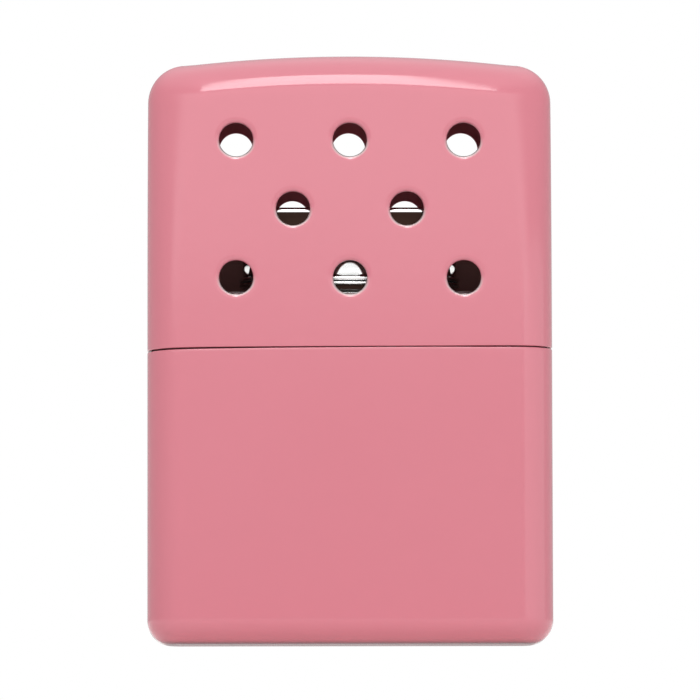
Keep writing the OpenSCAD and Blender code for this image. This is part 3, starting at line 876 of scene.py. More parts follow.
def bright_chrome(name, steel, haze_range, painted_seam_shade=None, brown_band=None, rough_below=None):
    """Chrome over polished steel, where asked with painted shade at a seam, a dark brown band and rougher
    metal where it is crimped.
    """
    material, tree = new_material(name)
    place = add(tree, "ShaderNodeTexCoord").outputs["Object"]
    height = add(tree, "ShaderNodeSeparateXYZ", {0: place}).outputs["Z"]
    cloud = add(tree, "ShaderNodeTexNoise", {"Vector": place, "Scale": 210.0, "Detail": 3.0})
    haze = add(tree, "ShaderNodeMapRange", {
        "Value": cloud, "From Min": 0.42, "From Max": 0.75,
        "To Min": haze_range[0], "To Max": haze_range[1],
    })
    rough = haze.outputs["Result"]
    colour = add(tree, "ShaderNodeMix", {
        "Factor": cloud, "A": linear(steel), "B": linear("#d2d3d2"),
    }, data_type="RGBA").outputs["Result"]
    # a dark brown band between two heights, ragged below and even above; on the neck's foot it is painted
    # shade
    if brown_band:
        low, high, blur = brown_band
        wander = add(tree, "ShaderNodeMath", {
            0: cloud, 1: WANDER * MM, 2: height,
        }, operation="MULTIPLY_ADD").outputs[0]
        ragged = add(tree, "ShaderNodeMapRange", {
            "Value": wander, "From Min": (low + WANDER / 2) * MM,
            "From Max": (low + blur + WANDER / 2) * MM,
        }, interpolation_type="SMOOTHSTEP")
        even = add(tree, "ShaderNodeMapRange", {
            "Value": height, "From Min": (high + 0.1) * MM, "From Max": high * MM,
        }, interpolation_type="SMOOTHSTEP")
        brown_share = add(tree, "ShaderNodeMath", {0: ragged, 1: even}, operation="MULTIPLY")
        brown = add(tree, "ShaderNodeMix", {
            "Factor": cloud, "A": linear("#241814"), "B": linear("#32241f"),
        }, data_type="RGBA").outputs["Result"]
        colour = add(tree, "ShaderNodeMix", {
            "Factor": brown_share, "A": colour, "B": brown,
        }, data_type="RGBA").outputs["Result"]
    # a dull, reddish band round the seam: painted shade and a painted reflection of the pink paint in the
    # seam's dark gap
    if painted_seam_shade:
        away = add(tree, "ShaderNodeMath", {0: height, 1: painted_seam_shade[0] * MM}, operation="SUBTRACT")
        near = add(tree, "ShaderNodeMath", {0: away}, operation="ABSOLUTE")
        dull = add(tree, "ShaderNodeMapRange", {
            "Value": near, "From Min": painted_seam_shade[1] * MM, "From Max": painted_seam_shade[1] * 2 * MM,
            "To Min": 1.0, "To Max": 0.0,
        }, interpolation_type="SMOOTHSTEP").outputs["Result"]
        colour = add(tree, "ShaderNodeMix", {
            "Factor": dull, "A": colour, "B": linear("#5e3a3d"),
        }, data_type="RGBA").outputs["Result"]
        rough = add(tree, "ShaderNodeMix", {"Factor": dull, "A": rough, "B": 0.55},
                    data_type="FLOAT").outputs["Result"]
    if rough_below:
        crimped = add(tree, "ShaderNodeMapRange", {
            "Value": height, "From Min": rough_below * MM, "From Max": (rough_below + 0.15) * MM,
            "To Min": 1.0, "To Max": 0.0,
        }).outputs["Result"]
        rough = add(tree, "ShaderNodeMix", {"Factor": crimped, "A": rough, "B": 0.24},
                    data_type="FLOAT").outputs["Result"]
    # polishing marks run round the piece: drawn 0.15 mm apart, as finer ones would not show
    marks = add(tree, "ShaderNodeMapping", {"Vector": place, "Scale": (90.0, 90.0, 6500.0)})
    line = add(tree, "ShaderNodeTexNoise", {"Vector": marks, "Scale": 1.0, "Detail": 2.0})
    wave = add(tree, "ShaderNodeBump", {"Height": cloud, "Strength": 0.08, "Distance": 0.0002})
    scratch = add(tree, "ShaderNodeBump", {
        "Height": line, "Strength": 0.10, "Distance": 0.00002,
        "Normal": wave,
    })
    plate = add(tree, "ShaderNodeBsdfPrincipled", {
        "Base Color": colour, "Metallic": 1.0, "Roughness": rough,
        "Normal": scratch,
    })
    add(tree, "ShaderNodeOutputMaterial", {"Surface": plate})
    return material


# the tank top's chrome carries a painted shade band round the seam
tank_chrome = bright_chrome("bright_chrome_on_tank_top", "#e2e3e3", (0.06, 0.18), painted_seam_shade=(SEAM_Z, 0.9))
print("stain band round z =", round(SEAM_Z, 2), "mm")

# %% [markdown]
# ## The tank collar
# A second, smaller box closes the top of the case and guides the lid. It is drawn with a rounded upper
# edge, and its flat deck has one oblong opening for the neck. A box outline and an oblong share the
# same stations, so the deck is the straight blend from one to the other.

# %% Tank collar
COLLAR_X, COLLAR_Y, COLLAR_RADIUS = 24.7, 5.8, 3.5
COLLAR_SHEET, COLLAR_EDGE = 0.5, 0.9
COLLAR_LOW, COLLAR_HIGH = (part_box("tank_collar")[i].z / MM for i in (0, 1))
DECK_X, DECK_Y = 12.5, 3.55


def oblong(half_x, half_y, inset, z):
    """An oblong outline set in by a distance, at one height."""
    return ring(half_x, half_y, half_y, inset, z)


def blend_rings(first, last, steps):
    """Outlines between two others, without the two themselves."""
    return [first + (last - first) * k / steps for k in range(1, steps)]


def looped(rings):
    """Joined outlines whose last one is the first again."""
    return join_rings([*rings, rings[0]])


def box_walk(half_x, half_y, radius, walk):
    """Outlines of a box for (inset, height) steps."""
    return [ring(half_x, half_y, radius, inset, z) for inset, z in walk]


def collar_rings():
    """A walk up the outside of the collar, over the deck into its opening and back underneath."""
    turn, inner = COLLAR_EDGE, COLLAR_EDGE - COLLAR_SHEET
    low_round, lip = 0.15, 0.12
    outside = [(low_round - x, COLLAR_LOW + low_round + z)
               for x, z in arc(low_round, -90, 0, 3)]
    outside += [(0, COLLAR_LOW + 0.5), (0, COLLAR_HIGH - turn - 0.2)]
    outside += [(turn - x, COLLAR_HIGH - turn + z) for x, z in arc(turn, 0, 90, 8)]
    inside = [(turn - x, COLLAR_HIGH - turn + z) for x, z in arc(inner, 90, 0, 5)]
    inside += [(COLLAR_SHEET, COLLAR_HIGH - turn - 0.2), (COLLAR_SHEET, COLLAR_LOW + 0.5)]
    inside += [(COLLAR_SHEET, COLLAR_LOW)]
    up_walk = box_walk(COLLAR_X, COLLAR_Y, COLLAR_RADIUS, outside)
    down_walk = box_walk(COLLAR_X, COLLAR_Y, COLLAR_RADIUS, inside)
    edge = [oblong(DECK_X, DECK_Y, -lip + x, COLLAR_HIGH - lip + z)
            for x, z in arc(lip, 90, 0, 4)]
    edge += [oblong(DECK_X, DECK_Y, -lip + x, COLLAR_HIGH - COLLAR_SHEET + lip + z)
             for x, z in arc(lip, 0, -90, 4)]
    return [*up_walk, *blend_rings(up_walk[-1], edge[0], 6), *edge,
            *blend_rings(edge[-1], down_walk[0], 6), *down_walk]


collar = build("collar", [looped(collar_rings())])
finish_piece(shade(collar), "tank", "tank_collar", tank_chrome)

# %% [markdown]
# ## The filler neck
# The burner pushes onto a short oblong tube. Its foot is turned out into a flange that sits under the
# deck, and its mouth is rolled smooth so that it doesn't cut the felt. It is one closed walk round the
# wall again, this time with oblong outlines.

# %% Filler neck
NECK_X, NECK_Y, NECK_SHEET = 12.45, 3.5, 0.4
NECK_LOW, NECK_HIGH = (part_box("filler_neck")[i].z / MM for i in (0, 1))
NECK_FLANGE, NECK_FLANGE_SHEET, NECK_RIM = 0.9, 0.4, 0.18


def sleeve_walk(low, high, sheet, flange, flange_sheet, rim):
    """(inset, height) steps round a tube with a flange turned out at its foot."""
    curve = 0.15
    tip = flange_sheet / 2 - 0.01
    walk = [(sheet - curve * (1 - math.sin(a)), low + curve * (1 - math.cos(a)))
            for a in np.radians(np.linspace(0, 90, 4))]
    walk += [(sheet, low + 1.0), (sheet, high - rim - 0.2)]
    walk += [(sheet - rim + x, high - rim + z) for x, z in arc(rim, 0, 90, 4)]
    walk += [(rim - x, high - rim + z) for x, z in reversed(arc(rim, 0, 90, 4))]
    walk += [(0, high - rim - 0.2), (0, low + flange_sheet + curve + 0.2)]
    walk += [(-curve + curve * math.cos(a), low + flange_sheet + curve - curve * math.sin(a))
             for a in np.radians(np.linspace(0, 90, 4))]
    walk += [(-flange + tip - x, low + flange_sheet / 2 + z) for x, z in arc(tip, 90, -90, 6)]
    return walk


def wavy(outline_ring, amount, reach=0.5):
    """Lets the height of an outline wander, as pressed and crimped edges do."""
    lift = [noise.noise(Vector((x * reach, y * reach, 3.7))) for x, y, _ in outline_ring]
    moved = outline_ring.copy()
    moved[:, 2] += amount * np.array(lift)
    return moved


# the foot of the neck is coloured dark brown: painted shade for the dark gap between the deck and the
# burner
neck_chrome = bright_chrome("chrome_shaded_at_the_foot", "#e2e3e3", (0.06, 0.18), brown_band=(38.0, 45.3, 0.6))
neck = build("neck_tube", [looped([
    oblong(NECK_X, NECK_Y, inset, z)
    for inset, z in sleeve_walk(NECK_LOW, NECK_HIGH, NECK_SHEET, NECK_FLANGE, NECK_FLANGE_SHEET, NECK_RIM)
])])
finish_piece(shade(neck), "tank", "filler_neck", neck_chrome)
print("neck stands", round(NECK_HIGH - COLLAR_HIGH, 2), "mm over the deck")

# %% [markdown]
# ## Solder
# Two seams make the tank tight: a bead that joins the collar's lower edge to the case, and a small
# fillet round the foot of the neck. Molten solder wets both pieces, so a bead has a hollow, shiny
# face where it flowed and a frosted one where it cooled slowly. Its width wanders along the seam, so
# a slow noise moves each outline a little.

# %% Material: soft solder
def patchy_metal(name, dark, light, patches, detail, limits, roughness, ripples, relief, depth):
    """Bare metal with dull and bright patches and a fine relief. Scales are patches to a metre."""
    material, tree = new_material(name)
    place = add(tree, "ShaderNodeTexCoord").outputs["Object"]
    cloud = add(tree, "ShaderNodeTexNoise", {"Vector": place, "Scale": patches, "Detail": detail})
    tone = add(tree, "ShaderNodeMix", {
        "Factor": cloud, "A": linear(dark), "B": linear(light),
    }, data_type="RGBA")
    dull = add(tree, "ShaderNodeMapRange", {
        "Value": cloud, "From Min": limits[0], "From Max": limits[1],
        "To Min": roughness[0], "To Max": roughness[1],
    })
    ripple = add(tree, "ShaderNodeTexNoise", {"Vector": place, "Scale": ripples, "Detail": 2.0})
    bump = add(tree, "ShaderNodeBump", {"Height": ripple, "Strength": relief, "Distance": depth})
    metal = add(tree, "ShaderNodeBsdfPrincipled", {
        "Base Color": tone, "Metallic": 1.0,
        "Roughness": dull, "Normal": bump,
    })
    add(tree, "ShaderNodeOutputMaterial", {"Surface": metal})
    return material


# tin-lead solder: grey, half frosted and half bright, with small ripples
solder = patchy_metal(
    "soft_solder_bead", dark="#5a5654", light="#9b9997", patches=850.0, detail=4.0,
    limits=(0.35, 0.7), roughness=(0.24, 0.58), ripples=2400.0, relief=0.25, depth=0.00006,
)

# %% Solder beads
def bead(name, section, shape, wander, reach, seed):
    """A closed bead along an outline; the free side of its section wanders."""
    rings = []
    for inset, z, free in section:
        base = shape(inset, z)
        swell = np.array([noise.noise(Vector((x * reach, y * reach, seed))) for x, y, _ in base])
        pushed = shape(inset + free * wander, z)
        rings.append(base + (pushed - base) * (0.5 + swell)[:, None].clip(0, 1))
    return build(name, [looped(rings)])


FILLET_X, FILLET_Y = 12.925, 3.975
neck_low, neck_high = (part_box("neck_solder")[i].z / MM for i in (0, 1))
rise = neck_high - neck_low
fillet = [(0.02 + 0.38 * k, neck_low + 0.02 + (rise - 0.02) * k ** 1.8, 1.0 - k)
          for k in np.linspace(0, 1, 7)]
fillet += [(0.44, neck_high, 0.0), (0.44, neck_low, 0.0), (0.2, neck_low, 0.0), (0.03, neck_low, 0.5)]
neck_bead = bead("neck_solder_fillet", fillet,
                 lambda inset, z: oblong(FILLET_X, FILLET_Y, inset, z), 0.10, 1.1, 5.0)
finish_piece(shade(neck_bead, 40), "tank", "neck_solder", solder)

seal_low, seal_high = (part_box("collar_solder")[i].z / MM for i in (0, 1))
seal_middle, seal_half = (seal_low + seal_high) / 2, (seal_high - seal_low) / 2
seal = [(0.02, seal_high - 0.04, 0.0), (0.3, seal_high, 0.0), (0.6, seal_high - 0.02, 0.0)]
seal += [(0.62 + 0.36 * math.cos(a), seal_middle + (seal_half - 0.03) * math.sin(a), -0.6)
         for a in np.radians(np.linspace(80, -80, 9))]
seal += [(0.6, seal_low + 0.02, 0.0), (0.3, seal_low, 0.0), (0.02, seal_low + 0.05, 0.0)]
collar_bead = bead("collar_solder_seal", seal,
                   lambda inset, z: ring(COLLAR_X, COLLAR_Y, COLLAR_RADIUS, inset, z), 0.3, 0.8, 9.0)
finish_piece(shade(collar_bead, 40), "tank", "collar_solder", solder)

# %% [markdown]
# ## Bare stamped steel
# The felt bar and the base plate of the burner are cut from plain steel strip and never plated. The
# rolling of the strip leaves fine lines all one way, and the heat of the burner leaves faint straw and
# grey patches. Stretching a noise ninety times along one axis gives the lines.

# %% Material: rolled steel strip
def rolled_steel():
    """Bare steel strip: fine rolling lines along X, faint patches of heat and handling."""
    material, tree = new_material("rolled_steel_strip")
    place = add(tree, "ShaderNodeTexCoord").outputs["Object"]
    along = add(tree, "ShaderNodeMapping", {"Vector": place, "Scale": (70.0, 6300.0, 6300.0)})
    grain = add(tree, "ShaderNodeTexNoise", {"Vector": along, "Scale": 1.0, "Detail": 3.0})
    patch = add(tree, "ShaderNodeTexNoise", {"Vector": place, "Scale": 260.0, "Detail": 3.0})
    steel = add(tree, "ShaderNodeMix", {
        "Factor": grain, "A": linear("#a3a4a6"), "B": linear("#cbcccd"),
    }, data_type="RGBA")
    warmth = add(tree, "ShaderNodeMapRange", {
        "Value": patch, "From Min": 0.5, "From Max": 0.8, "To Max": 0.5,
    })
    colour = add(tree, "ShaderNodeMix", {
        "Factor": warmth, "A": steel, "B": linear("#b7a17c"),
    }, data_type="RGBA")
    rough = add(tree, "ShaderNodeMapRange", {
        "Value": grain, "From Min": 0.3, "From Max": 0.7,
        "To Min": 0.26, "To Max": 0.42,
    })
    bump = add(tree, "ShaderNodeBump", {"Height": grain, "Strength": 0.25, "Distance": 0.00003})
    metal = add(tree, "ShaderNodeBsdfPrincipled", {
        "Base Color": colour, "Metallic": 1.0,
        "Roughness": rough, "Normal": bump,
    })
    add(tree, "ShaderNodeOutputMaterial", {"Surface": metal})
    return material


strip_steel = rolled_steel()

# %% [markdown]
# ## The felt bar
# A narrow strip lies across the neck over the felt, with both ends bent down along the walls. The
# strip is one rounded section carried along a bent path, with the two bends drawn as small arcs.

# %% Felt bar
def bent_strip(path, half_width, sheet, edge):
    """Sections across a strip along a path of (y, z, angle) steps, with round long edges."""
    section = [(half_width - edge + edge * math.cos(a), sheet / 2 - edge + edge * math.sin(a))
               for a in np.radians(np.linspace(0, 90, 4))]
    section += [(-x, z) for x, z in reversed(section)]
    section += [(x, -z) for x, z in reversed(section)]
    rings = []
    for y, z, angle in path:
        up_y, up_z = -math.sin(angle), math.cos(angle)
        rings.append(np.array([(x, y + up_y * h, z + up_z * h) for x, h in section]))
    return rings


bar_low, bar_high = (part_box("felt_bar")[i] for i in (0, 1))
bar_sheet, bar_bend = 0.4, 0.35
end_y, top_z = bar_high.y / MM - bar_sheet / 2, bar_high.z / MM - bar_sheet / 2
half_path = [(y, top_z, 0.0) for y in np.linspace(0, end_y - bar_bend, 5)]
half_path += [(end_y - bar_bend + bar_bend * math.sin(a), top_z - bar_bend + bar_bend * math.cos(a), -a)
              for a in np.radians(np.linspace(15, 90, 6))]
half_path += [(end_y, z, -math.pi / 2) for z in np.linspace(top_z - 0.6, bar_low.z / MM + 0.02, 3)]
path = [(-y, z, -angle) for y, z, angle in reversed(half_path)][:-1] + half_path
bar = build("felt_bar_strip", [capped(bent_strip(path, bar_high.x / MM, bar_sheet, 0.09))])
finish_piece(shade(bar, 40), "tank", "felt_bar", strip_steel)

# %% [markdown]
# ## Fibres
# Cotton, felt and catalyst wool are all masses of fibre. Each is made in two steps: a lumpy, crowned
# body that fills its space as stuffing does, and over it a layer of loose fibres. The fibres repeat
# hundreds of times along a surface, which is work for Geometry Nodes: points scattered with a fixed
# seed, one thin bent fibre with a few faces at each, turned and sized at random.

# %% Geometry Nodes: loose fibres
def loose_fibre_tree():
    """Keeps the body and scatters thin bent fibres over it."""
    tree, given = new_tree("loose_fibres", {
        "Body": "Geometry", "Fibres per square mm": "Float", "Fibre length": "Float",
        "Fibre radius": "Float", "Bend": "Float", "Seed": "Int", "Finish": "Material",
    })

    # one fibre along X: its ends dip under the surface and its middle stands a little proud
    step = add(tree, "GeometryNodeInputIndex")
    share = add(tree, "ShaderNodeMath", {0: step, 1: 0.25, 2: -0.5}, operation="MULTIPLY_ADD")
    far = add(tree, "ShaderNodeMath", {0: share, 1: given["Fibre length"]}, operation="MULTIPLY")
    square = add(tree, "ShaderNodeMath", {0: share, 1: share}, operation="MULTIPLY")
    cube = add(tree, "ShaderNodeMath", {0: square, 1: share}, operation="MULTIPLY")
    curl = add(tree, "ShaderNodeMath", {0: share, 1: -0.12, 2: cube}, operation="MULTIPLY_ADD")
    sideways = add(tree, "ShaderNodeMath", {0: curl, 1: given["Fibre length"]}, operation="MULTIPLY")
    swing = add(tree, "ShaderNodeMath", {0: sideways, 1: 4.0}, operation="MULTIPLY")
    dip = add(tree, "ShaderNodeMath", {0: square, 1: -4.0, 2: 0.45}, operation="MULTIPLY_ADD")
    rise = add(tree, "ShaderNodeMath", {0: dip, 1: given["Bend"]}, operation="MULTIPLY")
    bent = add(tree, "ShaderNodeCombineXYZ", {"X": far, "Y": swing, "Z": rise})
    line = add(tree, "GeometryNodeMeshLine", {"Count": 5})
    laid = add(tree, "GeometryNodeSetPosition", {"Geometry": line, "Position": bent})
    strand = add(tree, "GeometryNodeMeshToCurve", {"Mesh": laid})
    round_three = add(tree, "GeometryNodeCurvePrimitiveCircle", {
        "Resolution": 3, "Radius": given["Fibre radius"],
    }, mode="RADIUS")
    fibre = add(tree, "GeometryNodeCurveToMesh", {
        "Curve": strand, "Profile Curve": round_three, "Fill Caps": True,
    })

    # scatter, turn and size
    density = add(tree, "ShaderNodeMath", {0: given["Fibres per square mm"], 1: 1e6}, operation="MULTIPLY")
    spots = add(tree, "GeometryNodeDistributePointsOnFaces", {
        "Mesh": given["Body"], "Density": density, "Seed": given["Seed"],
    }, distribute_method="RANDOM")
    spin = add(tree, "FunctionNodeRandomValue", {
        "Min": 0.0, "Max": 2 * math.pi, "Seed": given["Seed"],
    }, data_type="FLOAT")
    about = add(tree, "FunctionNodeAxisAngleToRotation", {"Axis": (0, 0, 1), "Angle": spin})
    turned = add(tree, "FunctionNodeRotateRotation", {
        "Rotation": spots.outputs["Rotation"], "Rotate By": about,
    }, rotation_space="LOCAL")
    size = add(tree, "FunctionNodeRandomValue", {
        "Min": 0.6, "Max": 1.25, "Seed": given["Seed"],
    }, data_type="FLOAT")
    placed = add(tree, "GeometryNodeInstanceOnPoints", {
        "Points": spots.outputs["Points"], "Instance": fibre,
        "Rotation": turned, "Scale": size,
    })
    both = add(tree, "GeometryNodeJoinGeometry", {0: [placed, given["Body"]]})
    real = add(tree, "GeometryNodeRealizeInstances", {"Geometry": both})
    return end_tree(tree, real, given["Finish"])


FIBRES = loose_fibre_tree()

# %% Lumpy bodies
STEP_DOWN = 0.9    # mm between the outlines down a pad's side


def pad_walk(half_y, low, high, edge, crown):
    """(inset, height) steps from the middle of the top, round the side, to the middle below."""
    middle, tall = (low + high) / 2, (high - low) / 2
    upright = tall - crown - edge
    upper = [(inset, tall - crown * ((half_y - inset) / (half_y - edge)) ** 2)
             for inset in np.linspace(half_y, edge, 6)]
    upper += [(edge - edge * math.cos(a), upright + edge * math.sin(a))
              for a in np.radians(np.linspace(75, 0, 6))]
    steps = max(2, int(upright / STEP_DOWN))
    upper += [(0.0, h) for h in np.linspace(upright, 0, steps + 1)[1:-1]]
    lower = [(inset, -h) for inset, h in reversed(upper)]
    return [(inset, middle + h) for inset, h in upper + [(0.0, 0.0)] + lower]


def press_inside(mesh, halves, radius, low, high):
    """Presses loose fibres flat against the walls that hold the pad."""
    for corner in mesh.vertices:
        x, y, z = corner.co / MM
        z = min(max(z, low), high)
        half_x, half_y = halves(z)
        flat_x, flat_y = half_x - radius, half_y - radius
        past_x, past_y = max(abs(x) - flat_x, 0.0), max(abs(y) - flat_y, 0.0)
        over = math.hypot(past_x, past_y)
        if over > radius:
            x = math.copysign(flat_x + past_x * radius / over, x) if past_x else x
            y = math.copysign(flat_y + past_y * radius / over, y) if past_y else y
        corner.co = Vector((x, y, z)) * MM


def wool_pad(name, halves, radius, low, high, edge, crown, lump, reach, seed, fibres, finish):
    """A crowned, lumpy pad under loose fibres. Halves gives half the width and depth at a height."""
    rings = []
    half_y = halves(low)[1]
    for inset, z in pad_walk(half_y, low, high, edge, crown):
        half_x, depth = halves(z)
        share = inset / half_y
        base = outline(half_x - share * depth, depth * (1 - share), radius * (1 - share))
        points = np.column_stack([base, np.full(COUNT, z)])
        for p in points:
            swell = noise.fractal(Vector(p) * reach + Vector((0, 0, seed)), 0.9, 2.0, 3)
            push = lump * (0.5 + 0.5 * max(-1.0, min(1.0, swell * 1.6)))
            p[0] -= push * p[0] / half_x
            p[1] -= push * p[1] / depth
            p[2] -= push * (p[2] - (low + high) / 2) / (high - low) * 2
        rings.append(points)
    body = build(name + "_body", [join_rings(rings)])
    per_area, length, thin, bend = fibres
    start = body.data.copy()
    bpy.data.objects.remove(body)
    wool = from_nodes(name, FIBRES, start, {
        "Fibres per square mm": per_area, "Fibre length": length * MM, "Fibre radius": thin * MM,
        "Bend": bend * MM, "Seed": int(seed), "Finish": finish,
    })
    press_inside(wool, halves, radius, low, high)
    piece = bpy.data.objects.new(name, wool)
    wool.name = name
    bpy.context.scene.collection.objects.link(piece)
    piece.data.shade_smooth()
    return piece


print("outlines down a pad 20 mm tall:", len(pad_walk(5.0, 0.0, 20.0, 1.0, 1.0)))

# %% Material: fibre masses
def fibre_mass(name, dark, light, speck, scale, fuzz):
    """Soft fibre: no gloss, a pale sheen where it is seen edge on, and a broken, matted surface."""
    material, tree = new_material(name)
    place = add(tree, "ShaderNodeTexCoord").outputs["Object"]
    clump = add(tree, "ShaderNodeTexNoise", {"Vector": place, "Scale": scale, "Detail": 4.0})
    twist = add(tree, "ShaderNodeTexNoise", {
        "Vector": place, "Scale": scale * 7, "Detail": 3.0, "Distortion": 1.5,
    })
    tone = add(tree, "ShaderNodeMix", {
        "Factor": clump, "A": linear(dark), "B": linear(light),
    }, data_type="RGBA")
    fleck = add(tree, "ShaderNodeMapRange", {
        "Value": twist, "From Min": 0.56, "From Max": 0.72, "To Max": 0.7,
    })
    colour = add(tree, "ShaderNodeMix", {"Factor": fleck, "A": tone, "B": linear(speck)}, data_type="RGBA")
    mat = add(tree, "ShaderNodeBump", {"Height": twist, "Strength": 0.7, "Distance": 0.0002})
    soft = add(tree, "ShaderNodeBsdfPrincipled", {
        "Base Color": colour, "Roughness": 0.95, "Specular IOR Level": 0.1,
        "Sheen Weight": fuzz, "Sheen Roughness": 0.5, "Normal": mat,
    })
    add(tree, "ShaderNodeOutputMaterial", {"Surface": soft})
    return material


cotton_wool = fibre_mass("bleached_cotton_wool", "#dcd8cd", "#f3f1ea", "#c9c4b6", 380.0, 0.5)
wool_felt = fibre_mass("pressed_wool_felt", "#c8c0ae", "#e4dfd3", "#a79d88", 620.0, 0.35)
platinum_wool = fibre_mass("platinum_coated_glass_wool", "#5d5a55", "#a5a29c", "#34322f", 700.0, 0.2)

# %% [markdown]
# ## Cotton, felt and catalyst
# Cotton wool fills the tank from its floor to the deck and is narrower where it goes up inside the
# collar. A strip of felt lies on it in the neck and keeps the damp cotton in. The catalyst is a loose
# pad of glass fibre, grey from its platinum, squeezed between the two screens of the burner.

# %% Cotton, felt and catalyst
COTTON_WIDE, COTTON_NARROW = (24.5, 5.6), (23.4, 4.5)
NARROWS_AT, NARROWS_OVER = 26.6, 0.9


def cotton_halves(z):
    """Half sizes of the cotton, which narrows just under the collar."""
    share = min(max((z - NARROWS_AT) / NARROWS_OVER, 0.0), 1.0)
    share = share * share * (3 - 2 * share)
    return tuple(wide + (narrow - wide) * share for wide, narrow in zip(COTTON_WIDE, COTTON_NARROW))


cotton = wool_pad("cotton", cotton_halves, 2.6, 0.95, 41.9, 1.8, 0.9, 0.28, 0.33, 11,
                  (0.22, 4.5, 0.03, 0.16), cotton_wool)
finish_piece(cotton, "tank", "cotton_wadding", cotton_wool)

felt = wool_pad("felt", lambda z: (11.45, 2.5), 2.5, 42.08, 44.4, 0.5, 0.2, 0.08, 1.1, 23,
                (2.2, 1.5, 0.018, 0.05), wool_felt)
finish_piece(felt, "tank", "wick_felt", wool_felt)

catalyst = wool_pad("catalyst_wool", lambda z: (12.75, 3.8), 3.8, 50.24, 54.0, 0.7, 0.35, 0.16, 0.8, 37,
                    (3.0, 2.2, 0.02, 0.05), platinum_wool)
finish_piece(catalyst, "burner", "catalyst_pad", platinum_wool)

# %% [markdown]
# ## The burner housing
# An oblong cap, drawn from thin sheet and polished, holds the catalyst. Seven slots in its top let the
# warm air out, and its lower edge is turned out into a flange that is crimped to the one of the
# inner sleeve. A crimp never comes out straight, so both flanges wander by a few hundredths of a
# millimetre together, and the crimping leaves the wall over them in shallow waves that bend its
# reflections. The plating beside the catalyst is coloured dark brown, up to a bright top edge. Near each
# end a small round button is pressed out of the wall, front and back, which is the bright spot that
# shows in the outer vents of the lowest row.

# %% Burner housing
HOUSING_X, HOUSING_Y, HOUSING_SHEET = 13.3, 4.35, 0.35
HOUSING_LOW, HOUSING_HIGH = (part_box("burner_housing")[i].z / MM for i in (0, 1))
HOUSING_EDGE, HOUSING_SHOULDER = 0.37, 0.55
FLANGE, FLANGE_SHEET = 0.6, 0.68
CRIMP = 0.05
FLUTE, FLUTE_PITCH, FLUTE_FADES, FLUTE_FADE = 0.145, 6.6, 48.5, 5.0
# the wall beside the catalyst is coloured dark brown, up to the bright top edge
burner_chrome = bright_chrome("polished_burner_chrome", "#ececeb", (0.09, 0.15),
                              brown_band=(47.4, 54.1, 1.0), rough_below=45.95)


def housing_rings():
    """A walk from the deck over the edge, down the wall, round the flange and up the inside."""
    turn, inner, tip = HOUSING_EDGE, HOUSING_EDGE - HOUSING_SHEET, FLANGE_SHEET / 2 - 0.02
    foot, curve = HOUSING_LOW + FLANGE_SHEET, 0.2
    taller, wall_top = HOUSING_SHOULDER / turn, HOUSING_HIGH - 0.8
    walk = [(turn - x, HOUSING_HIGH + (z - turn) * taller, 0) for x, z in arc(turn, 90, 0, 10)]
    walk += [(0, z, 0) for z in np.linspace(wall_top, foot + curve + 0.1, 16)]
    walk += [(-curve + curve * math.cos(a), foot + curve - curve * math.sin(a), 1)
             for a in np.radians(np.linspace(0, 90, 4))]
    walk += [(-FLANGE + tip - x, HOUSING_LOW + FLANGE_SHEET / 2 + z, 1)
             for x, z in arc(tip, 90, -90, 6)]
    walk += [(HOUSING_SHEET, HOUSING_LOW + 0.02, 1), (HOUSING_SHEET, HOUSING_LOW + 0.6, 0)]
    walk += [(HOUSING_SHEET, wall_top, 0)]
    walk += [(turn - x, HOUSING_HIGH - turn + z, 0) for x, z in arc(inner, 0, 90, 6)]
    rings = []
    for inset, z, crimped in walk:
        flat = wavy(oblong(HOUSING_X, HOUSING_Y, inset, z), CRIMP * crimped)
        if inset == 0:
            fading = min(max((z - FLUTE_FADES) / FLUTE_FADE, 0.0), 1.0)
            swell = FLUTE * math.cos(fading * math.pi / 2) ** 2
            flat[:, :2] += FACING * (swell * np.cos(2 * math.pi * flat[:, 0] / FLUTE_PITCH))[:, None]
        rings.append(flat)
    return rings


deck = punched(
    "slotted_deck", oblong(HOUSING_X, HOUSING_Y, HOUSING_EDGE, 0)[:, :2], columns=7, rows=1,
    column_pitch=2.9 * MM, row_pitch=1.0 * MM, hole_radius=0.85 * MM, slot_stretch=3.3 * MM,
    outer_lip=0.12 * MM, inner_lip=0.06 * MM, sheet=HOUSING_SHEET * MM, points_round_a_hole=32,
    finish=burner_chrome,
)
deck.transform(Matrix.Translation((0, 0, HOUSING_HIGH * MM)))
BUTTON_RADIUS, BUTTON_FACE, BUTTON_ROOT = 0.66, 0.10, 0.8
BUTTON_X, BUTTON_Y, BUTTON_Z, BUTTON_TILT = 12.75, 2.45, 47.1, 0.2


def pressed_button(side, front):
    """A round boss on the wall: shallow in front, rooted in the wall, turned outwards and down."""
    boss = bmesh.new()
    bmesh.ops.create_icosphere(boss, subdivisions=3, radius=1.0)
    for point in boss.verts:
        depth = BUTTON_FACE if point.co.y < 0 else BUTTON_ROOT
        point.co = Vector((point.co.x * BUTTON_RADIUS, point.co.y * depth, point.co.z * BUTTON_RADIUS))
    facing = Vector((side * BUTTON_TILT, front, -BUTTON_TILT))
    turned = Vector((0, -1, 0)).rotation_difference(facing).to_matrix().to_4x4()
    place = Matrix.Translation(Vector((side * BUTTON_X, front * BUTTON_Y, BUTTON_Z)) * MM)
    boss.transform(place @ turned @ Matrix.Scale(MM, 4))
    made = bpy.data.meshes.new("button")
    boss.to_mesh(made)
    boss.free()
    return made


buttons = [pressed_button(side, front) for side in (-1, 1) for front in (-1, 1)]
housing = build("housing", [join_rings(housing_rings())], (deck, *buttons))
finish_piece(shade(housing), "burner", "burner_housing", burner_chrome)

# %% [markdown]
# ## The inner sleeve
# The sleeve slides over the neck and carries the base plate. Its foot has the second flange.

